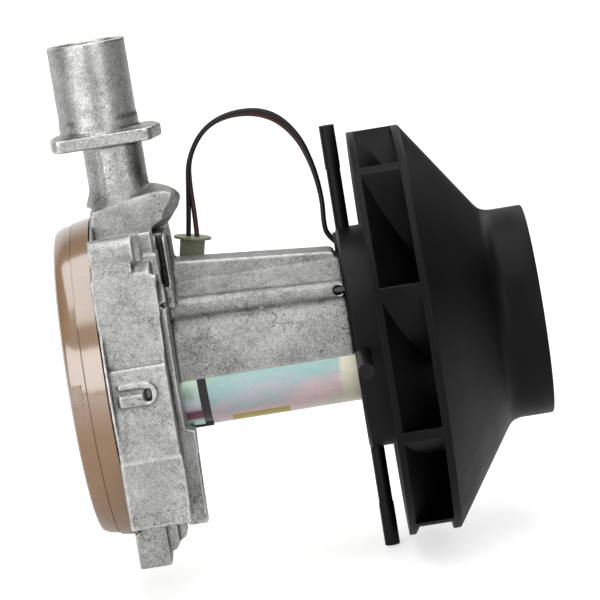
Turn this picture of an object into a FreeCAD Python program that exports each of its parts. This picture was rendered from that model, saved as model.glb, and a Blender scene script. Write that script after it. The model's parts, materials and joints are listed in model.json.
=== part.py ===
import FreeCAD, Part
import math
import os
import Sketcher

# DC blower fan of a parking heater, in millimetres.
# X runs along the motor axis towards the fan inlet, Z along the air spigot, Y away from the front.
# The origin is on the motor axis in the plane where the casting meets the heater.

Vector = FreeCAD.Vector
Rotation = FreeCAD.Rotation
doc = FreeCAD.newDocument("dc_blower_fan")
sheet = doc.addObject("Spreadsheet::Sheet", "dims")
AXIS_X = Vector(1, 0, 0)
AXIS_Y = Vector(0, 1, 0)


class Size:
    """A length or angle that knows its number and its expression in the sheet."""

    def __init__(self, value, text=None):
        self.value = float(value)
        self.text = text if text else repr(float(value))

    def __add__(self, other):
        other = size(other)
        return Size(self.value + other.value, f"({self.text} + {other.text})")

    def __sub__(self, other):
        other = size(other)
        return Size(self.value - other.value, f"({self.text} - {other.text})")

    def __mul__(self, other):
        other = size(other)
        return Size(self.value * other.value, f"({self.text} * {other.text})")

    def __truediv__(self, other):
        other = size(other)
        return Size(self.value / other.value, f"({self.text} / {other.text})")

    def __neg__(self):
        return Size(-self.value, f"(0 - {self.text})")


def size(value):
    return value if isinstance(value, Size) else Size(value)


def sine(angle):
    return Size(math.sin(math.radians(angle.value)), f"sin({angle.text})")


def cosine(angle):
    return Size(math.cos(math.radians(angle.value)), f"cos({angle.text})")


def tangent(angle):
    return sine(angle) / cosine(angle)


rows = []


def dim(alias, value):
    rows.append(alias)
    row = len(rows)
    sheet.set(f"A{row}", alias)
    sheet.set(f"B{row}", str(value))
    sheet.setAlias(f"B{row}", alias)
    return Size(value, f"dims.{alias}")


# Motor and shaft
shaft_radius = dim("shaft_radius", 2.5)
running_gap = dim("running_gap", 0.05)
seat_gap = dim("seat_gap", 0.3)
can_radius = dim("can_radius", 20.2)
can_wall = dim("can_wall", 1.5)
bell_overlap = dim("bell_overlap", 6.7)
bell_length = dim("bell_length", 14.0)
bell_wall = dim("bell_wall", 2.0)
ring_width = dim("ring_width", 2.7)
ring_inset = dim("ring_inset", 0.7)
ring_lip = dim("ring_lip", 0.4)
bush_radius = dim("bush_radius", 5.0)
bush_length = dim("bush_length", 6.0)
core_radius = dim("core_radius", 15.0)
core_start = dim("core_start", 38.0)
core_length = dim("core_length", 24.0)
air_gap = dim("air_gap", 0.6)
winding_overhang = dim("winding_overhang", 5.0)
commutator_radius = dim("commutator_radius", 6.5)
commutator_length = dim("commutator_length", 7.0)
brush_width = dim("brush_width", 4.0)
brush_length = dim("brush_length", 5.0)
brush_height = dim("brush_height", 6.0)
spring_length = dim("spring_length", 4.2)
guide_wall = dim("guide_wall", 0.5)
brush_plate_thickness = dim("brush_plate_thickness", 1.6)
end_cap_thickness = dim("end_cap_thickness", 4.0)
tie_rod_radius = dim("tie_rod_radius", 1.25)
tie_rod_inset = dim("tie_rod_inset", 2.1)

# Blower casting
housing_radius = dim("housing_radius", 47.0)
housing_depth = dim("housing_depth", 19.0)
channel_radius = dim("channel_radius", 35.0)
channel_groove = dim("channel_groove", 6.5)
channel_start = dim("channel_start", -12.0)
channel_sweep = dim("channel_sweep", 318.0)
boss_radius = dim("boss_radius", 5.0)
boss_length = dim("boss_length", 14.8)
boss_recess = dim("boss_recess", 1.0)
web_root = dim("web_root", 8.0)
bolt_spacing = dim("bolt_spacing", 82.0)
bolt_lift = dim("bolt_lift", 3.0)
bolt_hole_radius = dim("bolt_hole_radius", 2.75)
spigot_radius = dim("spigot_radius", 12.5)
spigot_bore = dim("spigot_bore", 10.7)
spigot_center = dim("spigot_center", 8.0)
spigot_top = dim("spigot_top", 107.7)
flange_top = dim("flange_top", 78.8)
flange_thickness = dim("flange_thickness", 4.2)
flange_depth = dim("flange_depth", 14.0)
neck_radius = dim("neck_radius", 9.6)
neck_bore = dim("neck_bore", 7.2)
neck_center = dim("neck_center", 11.1)
shoulder_width = dim("shoulder_width", 24.0)
shoulder_reach = dim("shoulder_reach", 29.9)
shoulder_height = dim("shoulder_height", 58.3)
wall_proud = dim("wall_proud", 1.6)
wall_top = dim("wall_top", 9.0)
upper_wall_top = dim("upper_wall_top", 38.6)
upper_wall_proud = dim("upper_wall_proud", 0.15)
wall_depth = dim("wall_depth", 17.0)
block_top = dim("block_top", -19.8)
block_bottom = dim("block_bottom", -41.4)
lug_height = dim("lug_height", 1.1)
foot_reach = dim("foot_reach", 61.2)
foot_width = dim("foot_width", 14.0)

# Plastic cover over the side channel
cover_depth = dim("cover_depth", 11.9)
cover_radius = dim("cover_radius", 49.5)
cover_wall = dim("cover_wall", 1.9)
cover_draft = dim("cover_draft", 0.7)
cover_step = dim("cover_step", 0.4)
port_radius = dim("port_radius", 7.0)
port_angle = dim("port_angle", -62.0)
window_width = dim("window_width", 5.4)
window_length = dim("window_length", 4.2)
window_depth = dim("window_depth", 0.5)
seal_thickness = dim("seal_thickness", 1.6)
seal_width = dim("seal_width", 2.2)

# Side channel rotor
wheel_radius = dim("wheel_radius", 42.0)
wheel_thickness = dim("wheel_thickness", 6.6)
wheel_gap = dim("wheel_gap", 0.8)
vane_count = dim("vane_count", 24)
vane_depth = dim("vane_depth", 2.8)
clip_thickness = dim("clip_thickness", 0.8)

# Motor bracket
sheet_thickness = dim("sheet_thickness", 2.3)
sheet_radius = dim("sheet_radius", 38.0)
plate_thickness = dim("plate_thickness", 4.8)
plate_width = dim("plate_width", 44.0)
plate_top = dim("plate_top", 45.0)
plate_low = dim("plate_low", 22.0)
leg_bottom = dim("leg_bottom", 45.2)
leg_depth = dim("leg_depth", 8.0)
bracket_end = dim("bracket_end", 77.2)
saddle_wall = dim("saddle_wall", 3.9)
saddle_drop = dim("saddle_drop", 1.7)
ridge_width = dim("ridge_width", 15.0)
ridge_height = dim("ridge_height", 34.9)
ridge_fall = dim("ridge_fall", 5.0)
crease_height = dim("crease_height", 27.6)
fairing_reach = dim("fairing_reach", 17.9)
fairing_edge = dim("fairing_edge", 21.6)
rib_root_angle = dim("rib_root_angle", 37.3)
rib_angle = dim("rib_angle", 43.0)
rib_radius = dim("rib_radius", 3.8)
rib_taper = dim("rib_taper", 0.9)
screw_radius = dim("screw_radius", 1.5)
screw_bite = dim("screw_bite", 11.0)
notch_radius = dim("notch_radius", 1.6)

# Holder with its four locating rods
holder_radius = dim("holder_radius", 35.9)
holder_thickness = dim("holder_thickness", 4.8)
holder_wall = dim("holder_wall", 2.0)
holder_drum = dim("holder_drum", 10.0)
rod_reach = dim("rod_reach", 69.2)
rod_radius = dim("rod_radius", 2.25)
rod_tip_radius = dim("rod_tip_radius", 2.45)
rod_tip_length = dim("rod_tip_length", 14.0)

# Hot air fan
fan_start = dim("fan_start", 85.5)
fan_radius = dim("fan_radius", 65.7)
fan_plate = dim("fan_plate", 2.0)
outlet_width = dim("outlet_width", 12.3)
fan_slope = dim("fan_slope", 37.5)
hub_slope = dim("hub_slope", 35.0)
shroud_wall = dim("shroud_wall", 1.8)
eye_radius = dim("eye_radius", 33.9)
eye_length = dim("eye_length", 12.3)
blade_count = dim("blade_count", 9)
blade_wall = dim("blade_wall", 1.8)
blade_inner = dim("blade_inner", 37.0)
blade_wrap = dim("blade_wrap", 31.0)
blade_curve = dim("blade_curve", 37.5)
blade_phase = dim("blade_phase", 31.0)
hub_radius = dim("hub_radius", 8.0)
hub_nose = dim("hub_nose", 20.0)
nose_wall = dim("nose_wall", 3.0)
fan_clip_rim = dim("fan_clip_rim", 4.0)

# Connector and leads
plug_center = dim("plug_center", 31.1)
plug_back = dim("plug_back", 16.0)
plug_top = dim("plug_top", 39.0)
plug_tilt = dim("plug_tilt", 12.0)
plug_length = dim("plug_length", 11.0)
plug_width = dim("plug_width", 8.0)
plug_depth = dim("plug_depth", 6.4)
plug_lip_radius = dim("plug_lip_radius", 6.1)
plug_lip = dim("plug_lip", 0.7)
lead_radius = dim("lead_radius", 0.82)
lead_gap = dim("lead_gap", 2.8)
lead_spread = dim("lead_spread", 1.8)
grommet_radius = dim("grommet_radius", 3.1)
grommet_back = dim("grommet_back", 11.6)
grommet_height = dim("grommet_height", 29.4)

# Places worked out from the driving sizes
bell_start = housing_depth - bell_overlap
bell_end = bell_start + bell_length
can_start = bell_end + ring_width
bracket_start = housing_depth
saddle_start = bracket_start + sheet_thickness
plate_end = bracket_start + plate_thickness
saddle_bore = can_radius + seat_gap
saddle_radius = saddle_bore + saddle_wall
can_end = bracket_end + 1.8
holder_end = bracket_end + holder_thickness
rod_plane = bracket_end + rod_tip_radius
cap_end = can_end + end_cap_thickness
core_end = core_start + core_length
commutator_start = core_end + winding_overhang + 1.6
brush_center = commutator_start + commutator_length / 2
brush_plate_start = can_end - brush_plate_thickness - 0.4
wheel_end = -wheel_gap
wheel_start = wheel_end - wheel_thickness
shaft_start = wheel_start - clip_thickness - 0.6
rim_end = fan_start + fan_plate
shroud_start = rim_end + outlet_width
shroud_end = shroud_start + shroud_wall
eye_start = shroud_end + (fan_radius - eye_radius) * tangent(fan_slope)
eye_end = eye_start + eye_length
nose_end = rim_end + (fan_radius - hub_nose) * tangent(hub_slope) + 2.0
fan_clip_start = nose_end
shaft_end = nose_end + 2.4
rib_place = saddle_radius + 1.3


def bind(item, target, length):
    item.setExpression(target, size(length).text)


def move_to(item, place, rotation=Rotation()):
    item.Placement = FreeCAD.Placement(Vector(*[size(p).value for p in place]), rotation)
    for letter, length in zip("xyz", place):
        bind(item, f"Placement.Base.{letter}", length)


def around(radius, angle):
    """The Y and Z of a place at an angle from the top towards the front."""
    return -(size(radius) * sine(angle)), size(radius) * cosine(angle)


def cylinder(name, radius, length, place, along="X"):
    item = doc.addObject("Part::Cylinder", name)
    bind(item, "Radius", radius)
    bind(item, "Height", length)
    turns = {"X": Rotation(AXIS_Y, 90), "Y": Rotation(AXIS_X, -90), "Z": Rotation()}
    move_to(item, place, turns[along])
    return item


def leaning_cone(name, first_radius, last_radius, start, end):
    """A cone whose axis runs from one place to another."""
    item = doc.addObject("Part::Cone", name)
    foot = Vector(*[size(part).value for part in start])
    way = Vector(*[size(part).value for part in end]) - foot
    bind(item, "Radius1", first_radius)
    bind(item, "Radius2", last_radius)
    bind(item, "Height", size(way.Length))
    item.Placement = FreeCAD.Placement(foot, Rotation(Vector(0, 0, 1), way))
    return item


def box(name, low, high):
    item = doc.addObject("Part::Box", name)
    for target, start, end in zip(("Length", "Width", "Height"), low, high):
        bind(item, target, size(end) - size(start))
    move_to(item, low)
    return item


def fuse(name, *items):
    item = doc.addObject("Part::MultiFuse", name)
    item.Shapes = list(items)
    item.Refine = True
    return item


def common(name, *items):
    item = doc.addObject("Part::MultiCommon", name)
    item.Shapes = list(items)
    return item


def cut(name, base, *tools):
    item = doc.addObject("Part::Cut", name)
    item.Base = base
    item.Tool = tools[0] if len(tools) == 1 else fuse(name + "_tools", *tools)
    item.Refine = True
    return item


def tube(name, outer, inner, start, end):
    solid = cylinder(name + "_outside", outer, end - start, (start, 0, 0))
    hole = cylinder(name + "_bore", inner, end - start + 2, (start - 1, 0, 0))
    return cut(name, solid, hole)


def origin_plane(body, role):
    for feature in body.Origin.OriginFeatures:
        if feature.Role == role:
            return feature


def outline(body, name, plane, corners, offset=None):
    """A closed sketch whose corners are held by named distances."""
    sketch = body.newObject("Sketcher::SketchObject", name)
    sketch.AttachmentSupport = [(origin_plane(body, plane), "")]
    sketch.MapMode = "FlatFace"
    if offset is not None:
        bind(sketch, "AttachmentOffset.Base.z", offset)
    points = [(size(a), size(b)) for a, b in corners]
    count = len(points)
    for number in range(count):
        first = Vector(points[number][0].value, points[number][1].value, 0)
        following = points[(number + 1) % count]
        last = Vector(following[0].value, following[1].value, 0)
        sketch.addGeometry(Part.LineSegment(first, last))
    for number in range(count):
        sketch.addConstraint(Sketcher.Constraint("Coincident", number, 2, (number + 1) % count, 1))
    for number, (across, up) in enumerate(points):
        for kind, length in (("DistanceX", across), ("DistanceY", up)):
            held = sketch.addConstraint(Sketcher.Constraint(kind, -1, 1, number, 1, length.value))
            sketch.setExpression(f"Constraints[{held}]", length.text)
    return sketch


def turned(name, corners):
    """A body of revolution about the motor axis, from corners given as place and radius."""
    body = doc.addObject("PartDesign::Body", name)
    sketch = outline(body, name + "_profile", "XZ_Plane", corners)
    turn = body.newObject("PartDesign::Revolution", name + "_turn")
    turn.Profile = sketch
    turn.ReferenceAxis = (sketch, ["H_Axis"])
    turn.Angle = 360
    return body


def padded(name, plane, corners, length, offset=None, middle=False):
    """A body padded from a sketch, away from its plane or to both sides of it."""
    body = doc.addObject("PartDesign::Body", name)
    sketch = outline(body, name + "_profile", plane, corners, offset)
    pad = body.newObject("PartDesign::Pad", name + "_pad")
    pad.Profile = sketch
    bind(pad, "Length", length)
    pad.Midplane = middle
    return body


def straight_edges(shape, direction):
    """The names of the straight edges that run along a direction."""
    names = []
    for number, edge in enumerate(shape.Edges, 1):
        if edge.Curve.TypeId != "Part::GeomLine":
            continue
        if abs(edge.tangentAt(edge.FirstParameter).dot(direction)) > 0.99:
            names.append(f"Edge{number}")
    return names


def rounded(body, radius, direction, keep=None):
    """Fillets the edges of a body along a direction, or those of them that keep accepts."""
    doc.recompute()
    base = body.Tip
    names = straight_edges(base.Shape, direction)
    if keep:
        names = [name for name in names if keep(base.Shape.getElement(name).CenterOfMass)]
    fillet = body.newObject("PartDesign::Fillet", body.Name + "_rounding")
    fillet.Base = (base, names)
    bind(fillet, "Radius", radius)
    return body


def patterned(body, count):
    """Repeats the last feature of a body about the motor axis."""
    base = body.Tip
    pattern = body.newObject("PartDesign::PolarPattern", body.Name + "_pattern")
    pattern.Originals = [base]
    pattern.Axis = (base.Profile[0], ["N_Axis"])
    pattern.Angle = 360
    bind(pattern, "Occurrences", count)
    body.Tip = pattern
    return body


nodes = []


def node(item):
    nodes.append(item)
    return item


def blower_casting():
    """Side channel casting with its inlet duct, hose spigot, bolt bosses and foot."""
    drum = turned("housing_drum", [
        (0, shaft_radius + 4), (0, housing_radius), (housing_depth, housing_radius),
        (housing_depth, can_radius + seat_gap), (bell_start - seat_gap, can_radius + seat_gap),
        (bell_start - seat_gap, shaft_radius + 4)])
    half = bolt_spacing / 2
    solids = [drum]
    holes = []
    for number, (side, level) in enumerate(((-1, 1), (1, 1), (1, -1), (-1, -1)), 1):
        place_y = half * side
        place_z = half * level + bolt_lift
        solids.append(cylinder(f"bolt_boss_{number}", boss_radius, boss_length - boss_recess,
                               (boss_recess, place_y, place_z)))
        solids.append(boss_web(number, place_y, place_z))
        holes.append(cylinder(f"bolt_hole_{number}", bolt_hole_radius, housing_depth + 2,
                              (-1, place_y, place_z)))
    solids.append(lower_wall())
    solids.append(upper_wall())
    solids.append(corner_block())
    solids.extend(side_block())
    solids.extend(foot_lug())
    solids.append(inlet_shoulder())
    neck_bottom = shoulder_height - 12
    solids.append(cylinder("inlet_neck", neck_radius, flange_top - neck_bottom - 1,
                           (neck_center, 0, neck_bottom), "Z"))
    solids.append(box("neck_seam", (neck_center - 3.3, -neck_radius + 0.2, shoulder_height - 6),
                      (neck_center - 2.7, -neck_radius + 2, flange_top - 1)))
    solids.append(spigot_flange())
    solids.append(cylinder("hose_spigot", spigot_radius, spigot_top - flange_top + 1,
                           (spigot_center, 0, flange_top - 1), "Z"))
    solids.append(cylinder("spigot_collar", spigot_radius + 0.3, 4,
                           (spigot_center, 0, flange_top), "Z"))
    groove = doc.addObject("Part::Torus", "channel_groove_ring")
    bind(groove, "Radius1", channel_radius)
    bind(groove, "Radius2", channel_groove)
    bind(groove, "Angle3", channel_sweep)
    groove.Placement = FreeCAD.Placement(
        Vector(), Rotation(AXIS_X, channel_start.value - 180) * Rotation(AXIS_Y, 90))
    port_top = channel_radius + channel_groove
    duct = cylinder("inlet_duct", neck_bore, flange_top - port_top + 2,
                    (neck_center, 0, port_top - 1), "Z")
    mouth = cylinder("spigot_hollow", spigot_bore, spigot_top - flange_top + 3,
                     (spigot_center, 0, flange_top - 2), "Z")
    port = box("channel_inlet", (2, -neck_bore, channel_radius - 3), (12, neck_bore - 1, port_top))
    sink = box("wall_pocket", (11.3, -housing_radius - 4, -1.8), (13.5, -housing_radius + 0.6, 2.1))
    for number in range(4):
        angle = size(45 + 90 * number)
        screw_y, screw_z = around(saddle_radius, angle)
        holes.append(cylinder(f"bracket_hole_{number + 1}", screw_radius + 0.2, housing_depth + 2,
                              (-1, screw_y, screw_z)))
        holes.append(cylinder(f"bracket_sink_{number + 1}", screw_radius + 1.6, 3.5,
                              (-0.5, screw_y, screw_z)))
    solid = fuse("housing_solid", *solids)
    return cut("blower_housing", solid, groove, duct, mouth, port, sink, *holes)


def boss_web(number, place_y, place_z):
    """The web between a bolt boss and the round casting."""
    web = doc.addObject("Part::Box", f"boss_web_{number}")
    width = boss_radius * 1.7
    bind(web, "Length", boss_length - boss_recess - 1.0)
    bind(web, "Width", width)
    bind(web, "Height", bolt_spacing * 0.7071 - housing_radius + web_root)
    lean = Rotation(AXIS_X, math.degrees(math.atan2(-place_y.value, place_z.value)))
    level = (housing_radius - web_root).value
    root = lean.multVec(Vector((boss_recess + 0.3).value, -width.value / 2, level))
    web.Placement = FreeCAD.Placement(root, lean)
    return web


def lower_wall():
    """The slightly proud lower half of the front wall, with a dent and the two bars and rim of its lug."""
    front = -(housing_radius + wall_proud)
    proud = front - lug_height
    wall = box("front_wall", (0.5, front, block_top - 1),
               (housing_depth - 0.2, -(housing_radius - 9), wall_top))
    dent = box("front_dent", (0, front - 1, -15.2), (3.3, front + 0.5, -5.2))
    panel = cut("front_panel", wall, dent)
    upper = box("lug_bar_upper", (3.4, proud, 2.8), (12.0, front + 1, 4.4))
    lower = box("lug_bar_lower", (3.2, proud, -2.8), (10.8, front + 1, 0.8))
    disc = cylinder("lug_rim_disc", 3.7, lug_height + 1, (11.5, proud, 0.7), "Y")
    side = box("lug_rim_side", (11.3, proud - 1, -5), (17, front + 2, 5))
    return fuse("front_wall_with_lug", panel, upper, lower, common("lug_rim", disc, side))


def upper_wall():
    """The flat upper half of the front wall, whose top rounds back under the bolt boss."""
    front = -(housing_radius + upper_wall_proud)
    back = -(housing_radius - wall_depth)
    top = upper_wall_top
    return padded("upper_wall", "YZ_Plane", [
        (front, wall_top - 1), (front, top - 2.4), (front + 0.9, top - 1.0), (front + 3.0, top),
        (front + 6.0, top + 0.8), (back, top + 0.8), (back, wall_top - 1)], housing_depth - 0.5, size(0.3))


def corner_block():
    """The square block round the lower front bolt."""
    front = -(housing_radius + wall_proud + 0.9)
    return box("front_block", (0.8, front, block_bottom), (housing_depth - 0.2, -24, block_top))


def side_block():
    """The stepped block between the upper front boss and the bracket's pad."""
    back = -(plate_width / 2 + 0.6)
    step = bolt_spacing / 2
    upper = box("side_block_upper", (boss_length + 1.4, back - 11.5, step - 0.2),
                (housing_depth + 1.4, back, step + 7.2))
    lower = box("side_block_lower", (boss_length + 1.6, back - 12.5, step - 6.4),
                (housing_depth + 2.2, back, step + 0.2))
    return [upper, lower]


def foot_lug():
    """The foot under the casting: a square lug with a toe below the cover, a thinner plate and a nub."""
    front = -(foot_width / 2 + 9)
    back = foot_width / 2 - 9
    root = -(housing_radius - 4)
    lug = box("foot_square", (0.4, front, -foot_reach), (8.8, back, root))
    toe = box("foot_toe", (-1.6, front, -foot_reach), (1, back, -(cover_radius + 0.7)))
    plate = padded("foot_plate", "XZ_Plane", [
        (8.7, root), (8.7, -foot_reach + 4.0), (11.0, -foot_reach + 4.4), (12.4, -foot_reach + 6.6),
        (12.4, root)], foot_width - 3, -back + 1.5)
    nub = padded("foot_nub", "XZ_Plane", [
        (12.3, root), (12.3, -foot_reach + 6.8), (14.4, -foot_reach + 7.6), (15.2, -foot_reach + 9.4),
        (15.2, root)], foot_width - 7, -back + 3.5)
    return [lug, toe, plate, nub]


def inlet_shoulder():
    """The hollow shoulder that leads the air from the neck down into the side channel."""
    reach = shoulder_reach
    top = shoulder_height
    half = shoulder_width / 2
    low = 40
    right = housing_depth - 0.2
    side = padded("shoulder_side", "XZ_Plane", [
        (0.8, low), (0.8, top - 4.2), (1.8, top - 3.3), (11, top - 2.3), (reach - 8.5, top - 0.4),
        (reach - 5.8, top), (reach - 1.4, top - 1.4), (reach, top - 3.2), (reach, top - 5.6),
        (reach - 1.5, top - 8.0), (reach - 5.1, top - 12.4), (right, plate_top + 0.5), (right, low)],
        shoulder_width + 4, middle=True)
    rounded(side, 1.2, AXIS_Y, lambda p: p.z > shoulder_height.value - 8.5 and p.x > 20)
    plan = padded("shoulder_plan", "XY_Plane", [
        (0.8, -half), (reach - 4.3, -half), (reach + 0.2, 0), (reach - 4.3, half), (0.8, half)],
        top - low + 2, low - 1)
    nose = common("shoulder_nose", side, plan)
    across = shoulder_width.value
    facets = []
    for number, facing in enumerate((-1, 1), 1):
        corner = Vector((reach - 4.3).value, half.value * facing, (top - 4.3).value)
        for place, slant in (("over", (0.62, 0.31, 0.71)), ("under", (0.745, 0.298, -0.596))):
            block = doc.addObject("Part::Box", f"shoulder_{place}_{number}")
            for target in ("Length", "Width", "Height"):
                bind(block, target, shoulder_width * 2)
            lean = Rotation(Vector(0, 0, 1), Vector(slant[0], slant[1] * facing, slant[2]))
            block.Placement = FreeCAD.Placement(corner - lean.multVec(Vector(across, across, 0)), lean)
            facets.append(block)
    return cut("inlet_shoulder", nose, *facets)


def spigot_flange():
    """The hexagonal flange under the hose spigot, with rounded corners."""
    left = spigot_center - 14.8
    right = spigot_center + 16.5
    body = padded("spigot_flange", "XY_Plane", [
        (left, -flange_depth), (right, -flange_depth), (right + 3.0, 0), (right, flange_depth),
        (left, flange_depth), (left - 1.6, 0)], flange_thickness, flange_top - flange_thickness)
    return rounded(body, 3.0, Vector(0, 0, 1))


def channel_cover():
    """Plastic cover: a shallow drafted cup with a step line, an outlet port and latch windows."""
    face = -cover_depth
    step = -(cover_depth / 2)
    rim = cover_radius
    face_rim = rim - cover_draft - cover_step
    shell = turned("cover_shell", [
        (face + 0.9, 0), (face + 0.9, 24), (face, 25), (face, face_rim - 2.2), (face + 0.6, face_rim - 0.7),
        (face + 2.2, face_rim), (step, face_rim + cover_draft / 2), (step, rim - cover_draft / 2),
        (0, rim), (0, rim - cover_wall), (face + cover_wall, rim - cover_wall),
        (face + cover_wall, 26), (face + cover_wall + 0.9, 25), (face + cover_wall + 0.9, 0)])
    port_y, port_z = around(channel_radius, port_angle)
    port = cylinder("outlet_port", port_radius, cover_wall + 3, (face - 1, port_y, port_z))
    windows = []
    for number in range(4):
        window = doc.addObject("Part::Box", f"latch_window_{number + 1}")
        bind(window, "Length", window_length)
        bind(window, "Width", window_depth + 2)
        bind(window, "Height", window_width)
        lean = Rotation(AXIS_X, 90 * number)
        corner = Vector((face - 0.2).value, -(face_rim + 2).value, 0.6)
        window.Placement = FreeCAD.Placement(lean.multVec(corner), lean)
        windows.append(window)
    return cut("channel_cover", shell, port, *windows)


def channel_seal():
    """Rubber ring between the cover skirt and the casting."""
    outer = cover_radius - cover_wall - 0.05
    return tube("channel_seal", outer, outer - seal_width, -seal_thickness, size(0))


def motor_bracket():
    """Casting with a round flange, a pad, a leg and a saddle over the motor with a ridge and screw ribs."""
    half = plate_width / 2
    pad = padded("bracket_pad", "YZ_Plane", [
        (-half, plate_low), (half, plate_low), (half, plate_top), (-half, plate_top)],
        plate_thickness, bracket_start)
    rounded(pad, 3.0, AXIS_X, lambda p: p.z > plate_low.value + 1)
    sheet_disc = cylinder("bracket_sheet", sheet_radius, sheet_thickness, (bracket_start, 0, 0))
    saddle_length = bracket_end - saddle_start + 1
    saddle = cylinder("saddle_outside", saddle_radius, saddle_length, (saddle_start - 1, 0, 0))
    below = box("saddle_underside", (saddle_start, -40, -60), (bracket_end + 1, 40, -saddle_drop))
    half_saddle = cut("saddle_half", saddle, below)
    low = saddle_radius - 3
    ridge_end = ridge_height - ridge_fall
    ridge = padded("saddle_ridge", "XZ_Plane", [
        (saddle_start - 1, low), (saddle_start - 1, ridge_height), (bracket_end - 2.6, ridge_end),
        (bracket_end - 1.6, ridge_end - 0.8), (bracket_end - 1.0, ridge_end - 2.6),
        (bracket_end, ridge_end - 3.2), (bracket_end, low)], ridge_width, middle=True)
    rounded(ridge, 0.8, AXIS_X, lambda p: p.z > low.value + 1)
    flank = ridge_width / 2
    fairing = padded("saddle_fairing", "YZ_Plane", [
        (-fairing_reach, saddle_bore - 4.5), (fairing_reach, saddle_bore - 4.5),
        (fairing_reach, fairing_edge), (flank, crease_height), (-flank, crease_height),
        (-fairing_reach, fairing_edge)],
        saddle_length, saddle_start - 1)
    rib = box("pad_rib", (plate_end - 1, -8, ridge_height - 2), (plate_end + 0.8, 8, plate_top - 1.5))
    solids = [pad, sheet_disc, bracket_leg(), half_saddle, ridge, fairing, rib]
    holes = [cylinder("saddle_bore", saddle_bore, bracket_end + 2, (0, 0, 0))]
    for number, side in enumerate((1, -1), 1):
        place_y, place_z = around(rib_place, rib_angle * side)
        root_y, root_z = around(rib_place, rib_root_angle * side)
        solids.append(leaning_cone(f"screw_rib_{number}", rib_radius, rib_radius - rib_taper,
                                   (saddle_start - 1, root_y, root_z),
                                   (bracket_end - 0.15, place_y, place_z)))
        holes.append(cylinder(f"rib_hole_{number}", screw_radius, screw_bite + 3,
                              (bracket_end - screw_bite - 2, place_y, place_z)))
        notch_y = -sheet_radius if side > 0 else place_y
        holes.append(cylinder(f"rib_notch_{number}", notch_radius, sheet_radius + place_y * side,
                              (bracket_end - 2.0, notch_y, place_z), "Y"))
    groove_low = ridge_height - 5.4
    holes.append(box("pad_groove", (plate_end - 3.0, -half - 1, groove_low),
                     (plate_end - 1.0, -half + 8, plate_top + 1)))
    holes.append(cylinder("pad_groove_end", 1, 9, (plate_end - 2.0, -half - 1, groove_low), "Y"))
    holes.append(cylinder("grommet_seat", grommet_radius + 1.2, 3,
                          (bracket_end - 1.3, grommet_back, grommet_height)))
    holes.append(cylinder("sheet_pin_hole", 0.95, 13, (bracket_start + 1.4, -sheet_radius - 1, 24.0), "Y"))
    for number in range(4):
        screw_y, screw_z = around(saddle_radius, size(45 + 90 * number))
        holes.append(cylinder(f"plate_hole_{number + 1}", screw_radius, sheet_thickness + 1.2,
                              (bracket_start - 1, screw_y, screw_z)))
    return cut("motor_bracket", fuse("bracket_solid", *solids), *holes)


def bracket_leg():
    """The tapered leg that goes down from the flange beside the casting's block."""
    start = bracket_start
    back = sheet_radius - 10
    return padded("bracket_leg", "XZ_Plane", [
        (start, -6), (saddle_start, -6), (saddle_start, -14.6), (saddle_start + 3.0, -15.6),
        (saddle_start + 1.7, -leg_bottom + 1.0), (saddle_start + 0.9, -leg_bottom),
        (start + 0.4, -leg_bottom), (start, -leg_bottom + 0.4)], leg_depth, back)


def bracket_screws():
    """Four pan head screws from the channel side that hold the bracket to the casting."""
    screws = []
    for number in range(4):
        screw_y, screw_z = around(saddle_radius, size(45 + 90 * number))
        shank = cylinder(f"bracket_shank_{number + 1}", screw_radius, saddle_start - 0.6,
                         (0.5, screw_y, screw_z))
        head = cylinder(f"bracket_head_{number + 1}", screw_radius + 1.4, 2.4, (0.6, screw_y, screw_z))
        screws.append(fuse(f"bracket_screw_{number + 1}", shank, head))
    return fuse("bracket_screws", *screws)


def holder_screws():
    """Two screws through the holder into the ribs of the bracket."""
    screws = []
    for number, side in enumerate((1, -1), 1):
        place_y, place_z = around(rib_place, rib_angle * side)
        shank = cylinder(f"holder_shank_{number}", screw_radius, holder_thickness + screw_bite,
                         (bracket_end - screw_bite, place_y, place_z))
        head = cylinder(f"holder_head_{number}", screw_radius + 1.3, 2.2, (holder_end, place_y, place_z))
        screws.append(fuse(f"holder_screw_{number}", shank, head))
    return fuse("holder_screws", *screws)


def motor_holder():
    """Black holder: a disc with a drum towards the fan and four rods that centre it in the jacket."""
    shell = turned("holder_shell", [
        (bracket_end, can_radius + seat_gap), (bracket_end, holder_radius - 0.8),
        (bracket_end + 0.8, holder_radius), (holder_end + holder_drum, holder_radius),
        (holder_end + holder_drum, holder_radius - holder_wall), (holder_end, holder_radius - holder_wall),
        (holder_end, can_radius + seat_gap)])
    solids = [shell]
    start = holder_radius - holder_wall
    for number in range(4):
        lean = Rotation(AXIS_X, 90 * number)
        rod = doc.addObject("Part::Cylinder", f"rod_{number + 1}")
        bind(rod, "Radius", rod_radius)
        bind(rod, "Height", rod_reach - start)
        rod.Placement = FreeCAD.Placement(lean.multVec(Vector(rod_plane.value, 0, start.value)), lean)
        tip = doc.addObject("Part::Cylinder", f"rod_tip_{number + 1}")
        bind(tip, "Radius", rod_tip_radius)
        bind(tip, "Height", rod_tip_length)
        tip_start = (rod_reach - rod_tip_length).value
        tip.Placement = FreeCAD.Placement(lean.multVec(Vector(rod_plane.value, 0, tip_start)), lean)
        solids += [rod, tip]
    holes = [cylinder("grommet_hole", grommet_radius, holder_thickness + 2,
                      (bracket_end - 1, grommet_back, grommet_height))]
    for number, side in enumerate((1, -1), 1):
        place_y, place_z = around(rib_place, rib_angle * side)
        holes.append(cylinder(f"holder_hole_{number}", screw_radius, holder_thickness + 2,
                              (bracket_end - 1, place_y, place_z)))
    return cut("motor_holder", fuse("holder_solid", *solids), *holes)


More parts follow.
